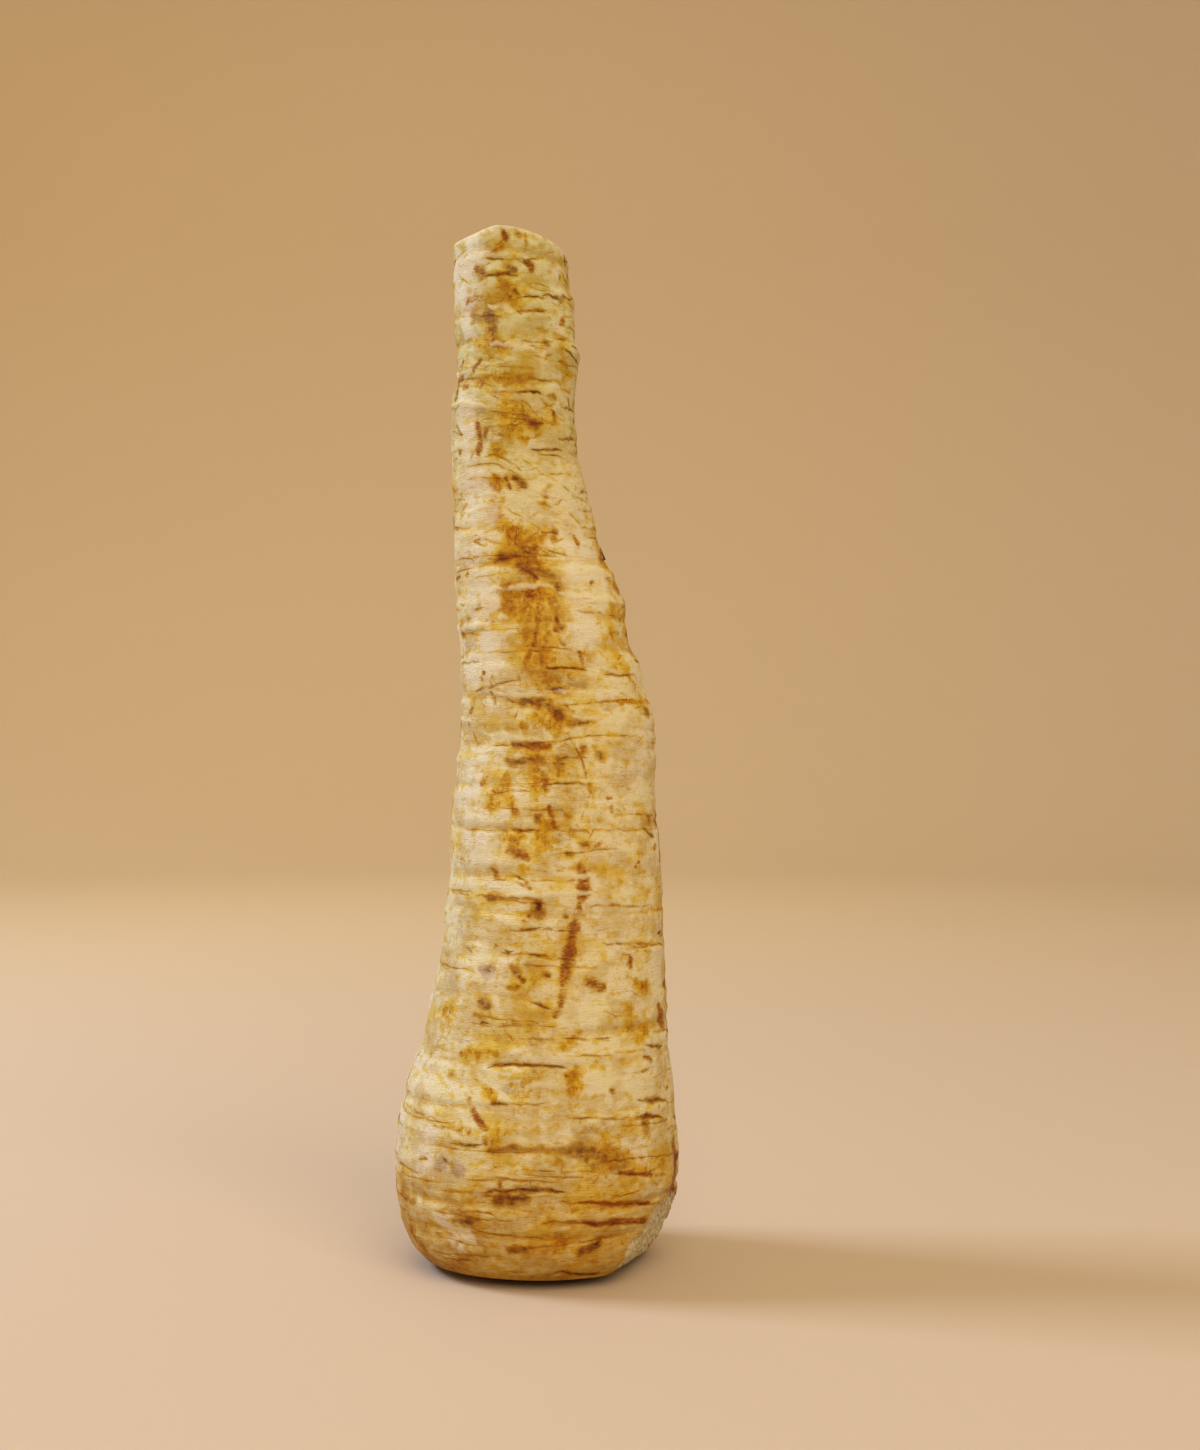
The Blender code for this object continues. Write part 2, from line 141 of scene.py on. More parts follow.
# The strokes on the front: kind, half width in mm, strength, and the points of the path. A point is
# where the camera sees it on the upright plane through the root's axis: mm to the right and mm up.
FRONT_STROKES = (
    # The tail
    ("scar", 0.6, 1.0, ((-8.7, 243.2), (-7.6, 240.0))),
    ("ochre", 0.7, 0.9, ((-8.0, 239.5), (-11.0, 237.0))),
    ("brown", 0.6, 0.8, ((-5.0, 243.0), (-4.6, 240.5))),
    ("line", 0.3, 1.0, ((-12.0, 235.6), (-6.0, 235.4), (0.5, 235.6))),
    ("crack", 0.35, 0.9, ((-12.2, 235.5), (-9.0, 235.7))),
    ("brown", 0.4, 0.7, ((-3.2, 241.5), (-3.0, 238.5))),
    ("scar", 1.0, 0.9, ((-14.6, 232.8), (-13.2, 232.6))),
    ("brown", 0.5, 0.8, ((-2.5, 223.2), (1.0, 223.3))),
    ("brown", 1.3, 0.9, ((-11.5, 222.5), (-10.8, 218.5))),
    ("brown", 0.5, 0.9, ((-15.4, 220.5), (-15.0, 220.3))),
    ("brown", 0.9, 1.0, ((-8.0, 233.5), (-5.6, 233.0))),
    ("crack", 0.45, 1.0, ((-12.5, 231.8), (-9.0, 232.1), (-5.2, 231.8))),
    ("scar", 0.5, 1.0, ((-3.3, 234.8), (-1.6, 234.0), (-1.9, 232.5))),
    ("brown", 0.5, 1.0, ((-5.6, 227.8), (-5.0, 227.6))),
    ("crack", 0.55, 1.0, ((1.4, 227.3), (5.0, 226.4), (7.7, 226.1))),
    ("ridge", 0.7, 1.0, ((-11.5, 224.4), (-5.6, 223.6))),
    ("line", 0.4, 1.0, ((-5.6, 223.3), (1.4, 223.3))),
    ("grey", 1.2, 0.6, ((-15.5, 221.5), (-9.2, 220.5))),
    ("brown", 1.1, 0.7, ((-10.5, 216.0), (-8.4, 215.0))),
    ("line", 0.3, 1.0, ((-3.0, 216.0), (3.3, 216.0))),
    ("brown", 0.7, 1.0, ((1.6, 215.8), (2.2, 215.8))),
    ("crack", 0.4, 1.0, ((6.5, 214.0), (9.0, 211.5), (8.6, 209.0))),
    ("scar", 0.5, 0.9, ((-17.7, 210.9), (-18.1, 207.8), (-19.3, 202.1))),
    ("ochre", 1.7, 0.6, ((-12.5, 207.8), (-6.0, 207.9), (-3.0, 207.0))),
    ("ochre", 1.6, 0.7, ((5.5, 216.0), (6.5, 208.0))),
    ("brown", 0.6, 1.0, ((2.6, 203.2), (4.0, 203.0))),
    ("line", 0.3, 0.8, ((-8.0, 203.0), (-5.0, 200.5))),
    ("line", 0.3, 0.8, ((-4.0, 202.5), (0.0, 198.5))),
    ("line", 0.3, 0.7, ((0.0, 203.0), (4.0, 199.0))),
    ("line", 0.3, 0.7, ((2.0, 201.0), (5.5, 197.5))),
    ("ochre", 1.0, 1.2, ((-4.4, 194.6), (-3.4, 193.0))),
    ("ochre", 1.1, 1.0, ((-11.0, 191.5), (-9.5, 190.5))),
    ("line", 0.35, 1.0, ((-11.0, 204.2), (-5.0, 204.5), (0.0, 204.2))),
    ("crack", 0.4, 0.9, ((-3.0, 204.3), (0.3, 204.2))),
    ("crack", 0.4, 1.0, ((6.1, 200.7), (8.2, 199.8))),
    ("line", 0.3, 1.0, ((-11.0, 200.0), (1.4, 197.8))),
    ("line", 0.3, 1.0, ((-9.0, 198.8), (0.0, 196.8))),
    ("scar", 0.7, 1.0, ((-14.8, 197.5), (-14.0, 193.0), (-14.5, 189.5))),
    ("crack", 0.35, 1.0, ((5.0, 193.2), (8.2, 193.0))),
    ("crack", 0.4, 1.0, ((-1.2, 190.6), (5.0, 190.6))),
    ("line", 0.35, 1.0, ((-10.0, 189.2), (-7.0, 188.0), (-4.7, 186.0))),
    ("line", 0.3, 1.0, ((-10.5, 187.5), (-6.5, 185.8))),
    # The neck and its stained hollow
    ("brown", 0.8, 1.0, ((-5.6, 184.0), (-3.3, 182.0))),
    ("ridge", 0.7, 1.0, ((-8.5, 180.5), (1.0, 181.0), (11.3, 180.0))),
    ("crack", 0.4, 1.0, ((9.5, 180.6), (11.3, 180.6))),
    ("ridge", 0.7, 1.0, ((-16.2, 176.2), (-9.9, 178.0))),
    ("line", 0.3, 1.0, ((-12.0, 178.6), (-8.5, 178.6))),
    ("ochre", 1.4, 1.2, ((-10.5, 184.0), (-10.0, 181.5))),
    ("ochre", 1.6, 1.2, ((-10.8, 178.0), (-10.4, 173.5))),
    ("ochre", 1.8, 1.0, ((-8.0, 172.5), (-4.5, 169.5))),
    ("brown", 0.7, 1.1, ((3.8, 172.0), (3.8, 170.0))),
    ("brown", 1.1, 0.9, ((-9.0, 165.4), (-5.0, 166.2), (-1.0, 167.0))),
    ("brown", 1.2, 0.6, ((-5.0, 163.5), (1.5, 162.0))),
    ("line", 0.4, 1.0, ((-3.2, 157.0), (-1.0, 157.3))),
    ("brown", 0.8, 0.8, ((4.6, 159.5), (4.4, 154.0), (4.0, 149.5))),
    ("brown", 0.7, 1.1, ((5.8, 149.2), (5.0, 148.2))),
    ("ochre", 1.8, 0.8, ((-3.0, 149.0), (-2.0, 141.0))),
    ("brown", 1.5, 0.6, ((-2.0, 138.5), (3.0, 137.5))),
    ("brown", 0.9, 1.0, ((3.5, 134.2), (6.5, 134.0))),
    ("brown", 0.5, 1.1, ((-19.4, 160.6), (-18.8, 160.8))),
    ("brown", 0.4, 1.1, ((-17.3, 161.4), (-17.0, 161.5))),
    ("ochre", 1.0, 1.3, ((-18.2, 149.5), (-18.0, 147.2))),
    ("ochre", 0.7, 0.8, ((15.5, 161.5), (16.8, 160.0))),
    ("ochre", 0.8, 0.8, ((17.0, 154.5), (17.6, 152.0))),
    ("ochre", 0.8, 0.8, ((17.0, 148.8), (17.4, 146.5))),
    ("ochre", 1.6, 0.8, ((18.4, 140.0), (21.0, 138.0))),
    ("line", 0.35, 1.0, ((-5.6, 168.2), (0.0, 167.6), (6.3, 166.0))),
    ("line", 0.3, 1.0, ((-3.0, 166.6), (4.0, 165.5))),
    ("line", 0.4, 1.0, ((-11.0, 164.2), (-4.7, 165.9))),
    ("grey", 1.4, 1.0, ((-4.5, 163.0), (1.4, 161.8))),
    ("ridge", 0.7, 1.0, ((7.8, 163.8), (18.0, 160.5))),
    ("ridge", 0.7, 1.0, ((5.0, 157.0), (20.5, 154.6))),
    ("ridge", 0.7, 1.0, ((-19.3, 148.5), (-13.0, 149.5), (-7.5, 151.5))),
    ("line", 0.4, 1.0, ((0.7, 144.0), (6.3, 144.0))),
    ("crack", 0.5, 1.0, ((20.9, 143.5), (22.0, 143.3))),
    ("line", 0.4, 1.0, ((-15.0, 134.1), (-4.7, 136.5))),
    ("scar", 0.5, 0.6, ((-4.7, 136.5), (-1.0, 145.9), (0.2, 155.3))),
    ("brown", 0.5, 0.6, ((0.5, 140.0), (2.2, 148.0), (3.2, 157.0))),
    ("grey", 1.6, 0.9, ((4.0, 138.0), (10.1, 135.5))),
    ("line", 0.4, 1.0, ((2.4, 134.4), (6.8, 134.4))),
    ("ridge", 0.6, 1.0, ((-10.4, 133.2), (1.4, 133.2))),
    ("brown", 1.2, 0.9, ((-4.0, 131.5), (1.0, 130.8), (3.5, 129.8), (5.0, 127.5))),
    ("ochre", 0.5, 1.0, ((18.1, 131.3), (25.6, 131.3))),
    ("brown", 0.8, 1.0, ((24.5, 129.6), (25.2, 129.0))),
    # Below the shoulder
    ("crack", 0.6, 1.0, ((6.2, 130.7), (6.6, 130.5))),
    ("ochre", 1.0, 1.0, ((-4.5, 126.0), (-3.5, 125.4))),
    ("line", 0.35, 1.0, ((-10.0, 121.0), (3.0, 122.0), (14.4, 123.6))),
    ("brown", 0.8, 0.7, ((-6.1, 121.0), (2.8, 121.0))),
    ("ochre", 1.8, 0.7, ((-6.0, 121.0), (2.0, 120.8))),
    ("brown", 0.9, 0.85, ((-7.5, 117.2), (-1.0, 117.6), (5.2, 117.2))),
    ("ochre", 1.3, 0.9, ((-0.8, 116.0), (-0.8, 108.0))),
    ("ochre", 0.9, 0.9, ((12.3, 112.0), (12.5, 107.0))),
    ("brown", 0.5, 0.9, ((17.0, 106.8), (17.2, 105.4))),
    ("line", 0.3, 1.0, ((5.2, 118.2), (10.8, 118.2))),
    ("line", 0.35, 1.0, ((7.8, 121.6), (10.2, 118.0), (11.3, 113.0))),
    ("brown", 0.7, 1.0, ((4.7, 118.4), (4.7, 114.0))),
    ("scar", 0.7, 1.0, ((1.0, 114.4), (1.9, 110.0))),
    ("crack", 0.35, 1.0, ((2.4, 112.0), (7.0, 112.3), (11.8, 112.0))),
    ("brown", 0.7, 0.8, ((13.2, 121.0), (15.0, 117.0))),
    ("brown", 0.8, 1.1, ((-0.2, 104.9), (-0.2, 103.3))),
    ("scar", 0.6, 1.0, ((2.4, 106.4), (4.2, 101.0))),
    ("ochre", 1.1, 0.9, ((-8.5, 112.0), (-5.6, 105.0))),
    ("line", 0.35, 0.65, ((-17.0, 101.3), (-6.0, 101.0), (10.0, 101.0), (28.0, 101.4))),
    ("crack", 0.5, 0.8, ((-6.1, 101.0), (-1.4, 101.0))),
    ("crack", 0.6, 1.0, ((25.4, 101.0), (27.4, 99.5))),
    ("scar", 1.0, 0.9, ((-7.5, 96.7), (-3.0, 95.0))),
    ("ochre", 0.8, 0.9, ((-4.2, 92.5), (-2.6, 92.3))),
    ("ochre", 1.6, 0.6, ((0.0, 98.2), (3.5, 98.4))),
    ("brown", 0.5, 1.0, ((9.6, 97.9), (11.8, 97.9))),
    ("brown", 0.5, 1.0, ((6.6, 95.5), (7.8, 95.5))),
    ("line", 0.35, 0.65, ((-13.4, 89.4), (-1.0, 89.0), (12.2, 89.4))),
    ("crack", 0.5, 1.0, ((-5.0, 89.9), (-4.0, 89.8))),
    # The long scar, and what lies round it and down to the crown
    (
        "scar", 0.85, 0.85,
        ((9.6, 92.5), (10.8, 89.6), (10.4, 86.1), (9.2, 82.6), (8.2, 77.9), (7.3, 73.4), (5.9, 65.6),
         (5.4, 60.7), (4.0, 57.4)),
    ),
    ("scar", 1.05, 1.3, ((10.7, 89.4), (10.3, 85.8))),
    ("scar", 0.9, 1.3, ((8.4, 79.0), (7.9, 76.4))),
    ("scar", 1.1, 1.4, ((7.3, 73.2), (6.0, 66.0))),
    ("brown", 0.5, 0.9, ((-12.5, 85.2), (-1.2, 85.2))),
    ("brown", 0.8, 1.2, ((-11.8, 85.3), (-10.4, 85.2))),
    ("brown", 0.9, 1.0, ((-1.2, 85.0), (0.3, 81.0))),
    ("line", 0.35, 0.7, ((12.0, 83.3), (26.1, 83.3))),
    ("line", 0.35, 0.8, ((-8.0, 77.6), (2.0, 77.9), (9.6, 77.6))),
    ("crack", 0.45, 0.7, ((-4.6, 77.8), (0.2, 77.9))),
    ("line", 0.45, 0.9, ((15.0, 74.4), (29.0, 74.4))),
    ("line", 0.4, 0.9, ((-8.7, 72.2), (0.0, 71.5), (7.8, 70.8))),
    ("crack", 0.4, 0.7, ((-2.5, 71.8), (1.5, 71.3))),
    ("crack", 0.8, 1.0, ((-7.8, 72.5), (-6.9, 72.4))),
    ("grey", 1.1, 1.4, ((-13.9, 68.6), (-11.5, 67.8))),
    ("crack", 0.6, 0.9, ((-13.3, 68.4), (-12.2, 68.0))),
    ("brown", 0.6, 1.0, ((-6.6, 69.0), (-3.3, 64.7))),
    ("brown", 0.5, 1.0, ((1.5, 67.4), (2.2, 66.6))),
    ("ochre", 1.8, 0.9, ((-22.5, 58.6), (-20.5, 58.2))),
    ("brown", 0.5, 1.0, ((-7.8, 64.2), (-4.7, 64.2))),
    ("scar", 1.0, 1.0, ((11.0, 65.6), (14.8, 64.2))),
    ("ochre", 0.9, 1.0, ((24.9, 65.2), (24.9, 62.4))),
    ("brown", 1.1, 1.1, ((-14.0, 61.5), (-12.6, 60.0))),
    ("crack", 0.4, 1.0, ((-1.9, 60.6), (1.9, 59.4))),
    ("scar", 1.3, 1.1, ((28.3, 60.0), (29.2, 54.5))),
    ("crack", 0.9, 1.0, ((-14.0, 55.6), (-12.7, 55.4))),
    ("line", 0.35, 0.8, ((-13.0, 55.0), (5.0, 55.0))),
    ("line", 0.35, 1.0, ((-4.2, 51.8), (6.0, 52.1), (16.0, 51.8))),
    ("crack", 0.6, 1.0, ((15.4, 52.2), (15.8, 52.2))),
    ("crack", 0.5, 1.0, ((25.0, 50.4), (29.0, 50.4))),
    ("ochre", 0.7, 1.0, ((-18.6, 48.7), (-10.1, 48.7))),
    ("crack", 0.4, 1.0, ((-11.5, 45.6), (-3.0, 46.0), (5.9, 45.6))),
    ("brown", 0.9, 1.0, ((-21.2, 44.0), (-21.0, 43.6))),
    ("ochre", 1.5, 1.1, ((7.8, 44.0), (8.6, 39.5))),
    ("ochre", 0.9, 1.0, ((-12.4, 39.6), (-10.2, 37.8))),
    ("scar", 0.6, 1.0, ((-17.2, 38.8), (-15.1, 34.1), (-12.2, 30.6))),
    ("crack", 0.5, 1.0, ((-11.0, 36.7), (-8.2, 36.7))),
    ("line", 0.35, 1.0, ((-8.2, 36.7), (0.5, 36.5))),
    ("crack", 0.7, 1.0, ((23.5, 37.6), (29.4, 37.6))),
    ("line", 0.4, 1.0, ((6.8, 33.4), (18.0, 33.2), (29.0, 33.6))),
    ("crack", 0.6, 1.0, ((23.8, 33.9), (28.5, 33.9))),
    ("brown", 0.9, 1.0, ((24.6, 33.2), (25.4, 29.8))),
    # The crown
    ("crack", 0.5, 1.0, ((-20.7, 27.1), (-14.4, 27.1))),
    ("brown", 0.5, 0.8, ((-12.0, 25.9), (-4.0, 26.3), (4.9, 25.9))),
    ("grey", 1.4, 1.0, ((-23.5, 22.6), (-18.1, 21.6))),
    ("grey", 1.6, 0.7, ((8.0, 26.0), (15.0, 27.5))),
    ("scar", 1.4, 1.1, ((31.7, 29.0), (32.1, 21.0), (31.0, 14.5))),
    ("grey", 1.5, 0.7, ((8.7, 30.5), (16.0, 31.0))),
    ("line", 0.35, 1.0, ((-4.7, 21.2), (2.6, 21.2))),
    ("line", 0.3, 1.0, ((17.2, 20.2), (29.6, 20.2))),
    ("scar", 0.5, 0.9, ((19.0, 20.5), (26.0, 20.2))),
    ("crack", 0.6, 1.0, ((-12.0, 16.2), (-3.0, 16.5), (5.4, 16.2))),
    ("brown", 1.2, 1.1, ((-9.6, 14.4), (-2.8, 14.2))),
    ("line", 0.35, 1.0, ((5.6, 13.4), (18.0, 13.2), (29.0, 13.4))),
    ("scar", 0.7, 0.9, ((9.5, 13.3), (17.0, 13.2), (26.0, 13.6))),
    ("line", 0.45, 1.0, ((-18.6, 11.6), (-10.6, 10.8))),
    ("line", 0.45, 1.1, ((1.4, 8.9), (14.0, 8.6), (24.9, 8.9))),
    ("scar", 0.7, 1.0, ((10.5, 8.7), (17.0, 8.7), (25.0, 9.8))),
    ("brown", 0.7, 1.0, ((-20.2, 9.2), (-16.2, 9.0))),
    ("line", 0.6, 1.0, ((-23.5, 6.4), (-19.8, 6.2))),
    ("brown", 0.8, 1.2, ((10.0, 1.9), (12.6, 2.8), (14.6, 4.4))),
    ("crack", 0.5, 0.9, ((12.8, 3.4), (14.4, 4.3))),
    ("brown", 0.8, 1.1, ((-6.8, 2.6), (-2.8, 2.6))),
    ("crack", 0.5, 1.0, ((3.8, -2.8), (9.0, -3.3), (14.3, -3.1))),
    # Broad tints
    ("ochre", 2.2, 0.6, ((-12.0, 226.5), (-6.0, 225.5))),
    ("ochre", 2.2, 0.7, ((-13.0, 216.0), (-8.0, 214.5))),
    ("ochre", 2.6, 0.5, ((-8.0, 201.0), (0.0, 196.0))),
    ("ochre", 2.4, 0.9, ((-6.2, 156.5), (-1.0, 157.0))),
    ("ochre", 2.2, 1.1, ((-7.0, 153.0), (-3.0, 153.5))),
    ("ochre", 4.4, 0.44, ((-4.0, 167.0), (-2.5, 160.0), (-2.0, 151.0), (0.0, 142.0), (2.0, 135.0))),
    ("brown", 2.4, 0.36, ((3.5, 161.0), (4.2, 153.0), (1.5, 144.0), (-1.0, 138.0))),
    ("brown", 2.2, 0.42, ((-7.0, 165.0), (2.0, 163.0))),
    ("grey", 2.0, 0.6, ((-3.0, 162.0), (4.0, 161.0))),
    ("ochre", 2.2, 0.7, ((0.0, 127.0), (5.0, 127.0))),
    ("ochre", 4.5, 0.26, ((6.0, 119.0), (6.5, 95.0))),
    ("grey", 4.5, 0.36, ((6.0, 119.0), (6.5, 95.0))),
    ("grey", 4.0, 0.42, ((-17.0, 88.0), (-20.5, 64.0))),
    ("ochre", 4.0, 0.24, ((-3.0, 80.0), (-1.0, 58.0))),
    ("grey", 4.0, 0.30, ((-3.0, 80.0), (-1.0, 58.0))),
    ("ochre", 3.0, 0.5, ((-6.0, 41.5), (0.0, 41.0))),
    ("ochre", 4.5, 0.45, ((12.0, 24.0), (24.0, 22.0))),
    ("grey", 3.2, 0.7, ((10.0, 26.5), (20.0, 23.0))),
    ("brown", 2.6, 0.42, ((9.0, 25.5), (21.0, 22.5))),
    # Pale places: pale skin, and down the lit left side painted highlight where the key light falls
    ("pale_and_highlight", 3.0, 1.0, ((-19.0, 238.0), (-16.5, 219.0))),
    ("pale_and_highlight", 2.2, 0.6, ((3.5, 234.0), (4.5, 220.0))),
    ("pale_and_highlight", 2.5, 1.0, ((-17.4, 203.5), (-16.7, 186.0))),
    ("pale_and_highlight", 3.5, 1.0, ((-16.0, 184.0), (-13.0, 174.0))),
    ("pale_and_highlight", 3.0, 1.1, ((-15.5, 166.0), (-13.0, 153.0))),
    ("pale_and_highlight", 2.5, 1.1, ((-11.0, 146.0), (-16.0, 139.0), (-10.0, 138.5))),
    ("pale_and_highlight", 2.5, 0.9, ((6.6, 172.0), (9.0, 158.0), (11.0, 148.0), (12.0, 140.0))),
    ("pale_and_highlight", 1.6, 1.0, ((-10.6, 87.6), (-4.2, 87.6))),
    ("pale_and_highlight", 2.5, 0.9, ((13.0, 96.5), (17.0, 95.5))),
    ("pale_and_highlight", 3.5, 0.8, ((-22.0, 112.0), (-24.0, 90.0), (-27.0, 74.0))),
    ("pale_and_highlight", 3.5, 0.9, ((-15.0, 117.0), (-14.5, 96.0))),
    ("pale_and_highlight", 1.3, 1.2, ((29.4, 12.7), (24.9, 7.1), (20.9, 1.6))),
    ("pale_and_highlight", 1.2, 1.6, ((22.8, 27.5), (24.5, 23.0))),
    ("pale_and_highlight", 0.9, 1.2, ((20.0, 27.0), (20.6, 25.6))),
    ("pale_and_highlight", 3.0, 0.8, ((-26.0, 34.0), (-27.0, 16.0))),
    ("pale_and_highlight", 2.5, 1.2, ((-22.5, 10.0), (-17.0, 4.0))),
)

# Strokes scattered all round by seeded chance: kind, how many, the ranges of half width in mm, of length
# in mm and of slope in degrees, the heights in mm that they lie between, and the share kept on the front.
SCATTERED = (
    ("crack", 100, (0.22, 0.42), (3, 11), (-4, 4), (3, 236), 0.1),
    ("line", 420, (0.16, 0.30), (4, 20), (-6, 6), (3, 236), 0.4),
    ("line", 150, (0.18, 0.32), (5, 22), (-5, 5), (3, 42), 0.45),
    ("line", 260, (0.13, 0.22), (1.5, 5), (-40, 40), (165, 238), 0.8),
    ("line", 420, (0.13, 0.22), (0.8, 3), (-80, 80), (3, 200), 0.8),
    ("ridge", 60, (0.5, 0.8), (8, 22), (-8, 8), (10, 230), 0.3),
    ("brown", 70, (0.4, 1.0), (1, 7), (-20, 20), (3, 234), 0.1),
    ("brown", 40, (0.5, 1.2), (3, 10), (-6, 6), (3, 36), 0.3),
    ("ochre", 190, (0.5, 1.5), (1, 6), (-90, 90), (3, 234), 0.3),
    ("ochre", 16, (2.5, 4.0), (8, 24), (60, 110), (20, 220), 0.0),
    ("scar", 16, (0.5, 1.0), (4, 16), (60, 110), (10, 230), 0.0),
    ("scar", 150, (0.3, 0.6), (0.6, 3), (-90, 90), (3, 236), 0.8),
    ("crack", 70, (0.25, 0.45), (0.2, 1.0), (-60, 60), (3, 236), 0.8),
    ("grey", 26, (0.9, 2.2), (2, 8), (-20, 20), (5, 230), 0.1),
    ("pale_and_highlight", 26, (2.5, 5.0), (6, 18), (50, 110), (10, 230), 0.3),
)
STRENGTHS = (0.7, 1.1)  # the range of their strengths
FRONT_TURN = math.radians(78)  # the camera sees this far round, where the strokes are listed

# The stubs of rootlets: height in mm, side in degrees, length and radius in mm, and lean in degrees.
STUBS = (
    (164.6, 88, 3.0, 0.7, -16),
    (61.0, 215, 3.4, 0.7, 50),
    (112.0, 158, 2.6, 0.5, 40),
    (189.0, 248, 2.8, 0.5, 30),
    (31.0, 140, 3.2, 0.8, 55),
    (88.0, 232, 2.4, 0.5, 35),
)
STUB_SIDES, STUB_CUTS = 8, 2
STUB_TAPER, STUB_KNOBS = 0.45, 0.18  # shares of the radius: that of the tip, and how uneven a stub is
STUB_SUNK = 0.1  # mm

GROWTH_WAVE, GROWTH_SPAN = 0.6, 30.0  # mm that the skin's pattern wanders up and down, and over how many
RAY_SPREAD, RING_SPREAD = 0.02, 0.004  # metres that the pattern of the cut flesh spans round and outwards
CROWN_STAIN_AND_SHADE = 46.0  # mm up to where the skin is stained towards the crown and darkened there as painted shade
TAIL_TINT = (150.0, 215.0)  # mm up between which the skin turns greener
RIM_CUT = 0.7  # mm below the tail's cut at which the frayed skin's mark is down to half

# Colours of the skin, the flesh and the rootlets
STRAW = (0.64, 0.51, 0.25)
CREAM = (0.76, 0.68, 0.43)
DUST_AND_HIGHLIGHT = (0.78, 0.71, 0.56)
FLESH = (0.78, 0.67, 0.44)
DRY_FLESH_AND_SHADE = (0.50, 0.37, 0.19)
PITH = (0.78, 0.80, 0.60)
CHAFF = (0.56, 0.49, 0.28)
DARK = (0.045, 0.024, 0.014)
BROWN = (0.16, 0.07, 0.02)

# Tints, which multiply the colour that lies under them
AMBER = (0.93, 0.78, 0.24)
OCHRE = (0.80, 0.62, 0.13)
RUST = (0.66, 0.32, 0.11)
UMBER = (0.44, 0.29, 0.17)
SOOT_AND_SHADE = (0.30, 0.25, 0.22)
SMOKE = (0.70, 0.61, 0.62)
OLIVE = (0.85, 0.89, 0.76)
HAZEL = (0.66, 0.48, 0.31)
TAN = (0.80, 0.67, 0.48)

# The stage, in metres, and its light: each lamp's place, aim, size, power in watts and colour
FLOOR_RADIUS, BEND_RADIUS, WALL_HEIGHT = 1.25, 0.7, 1.6
FLOOR_SIDES, BEND_STEPS = 96, 12
PAPER = (0.60, 0.46, 0.335)
ROOT_MIDDLE = Vector((0, 0, 0.11))
LAMPS = (
    ("key", (-0.92, 0.16, 0.85), ROOT_MIDDLE, 0.38, 11.5, (0.64, 0.78, 1.0)),
    ("fill", (0.35, -1.05, 1.0), ROOT_MIDDLE, 1.1, 12.4, (1.0, 0.90, 0.65)),
    ("wall", (-0.2, 0.9, 0.9), Vector((-0.3, 1.6, 0.0)), 0.8, 3.3, (1.0, 0.86, 0.30)),
)
SKY, SKY_STRENGTH = (1.0, 0.88, 0.66), 0.75

MIX_SHARE, MIX_UNDER, MIX_OVER, MIX_RESULT = 0, 6, 7, 2  # the sockets of a node that mixes colours


# The root's surface as fields over rows and columns

def solid_surface():
    """A tree of the solid root's faces, for ray casts. It is made from a merged copy."""
    bm = bmesh.new()
    bm.from_mesh(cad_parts["root"].data)
    bmesh.ops.remove_doubles(bm, verts=bm.verts, dist=1e-6)
    tree = BVHTree.FromBMesh(bm)
    bm.free()
    return tree


def way_out(turn):
    return Vector((math.sin(turn), -math.cos(turn), 0))


def look_in(tree, centre, height, turn):
    """The solid's surface point at that height and turn, and its normal there, or two Nones."""
    out = way_out(turn)
    start = Vector((centre[0], centre[1], height)) + out * FAR
    place, normal, _, _ = tree.ray_cast(start, -out, FAR)
    return place, normal


def blur(field, tall, wide):
    """The field smoothed up its rows and round its columns, by Gaussians of those widths in cells."""
    for axis, width in ((0, tall), (1, wide)):
        reach = math.ceil(3 * width)
        offsets = np.arange(-reach, reach + 1)
        weights = np.exp(-0.5 * (offsets / max(width, 1e-6)) ** 2)
        weights /= weights.sum()
        if axis == 0:
            padded = np.pad(field, ((reach, reach), (0, 0)), mode="edge")
            field = sum(w * padded[i:i + len(field)] for i, w in enumerate(weights))
        else:
            field = sum(w * np.roll(field, offset, axis=1) for offset, w in zip(offsets, weights))
    return field


def smoothstep(low, high, value):
    t = np.clip((value - low) / (high - low), 0, 1)
    return t * t * (3 - 2 * t)


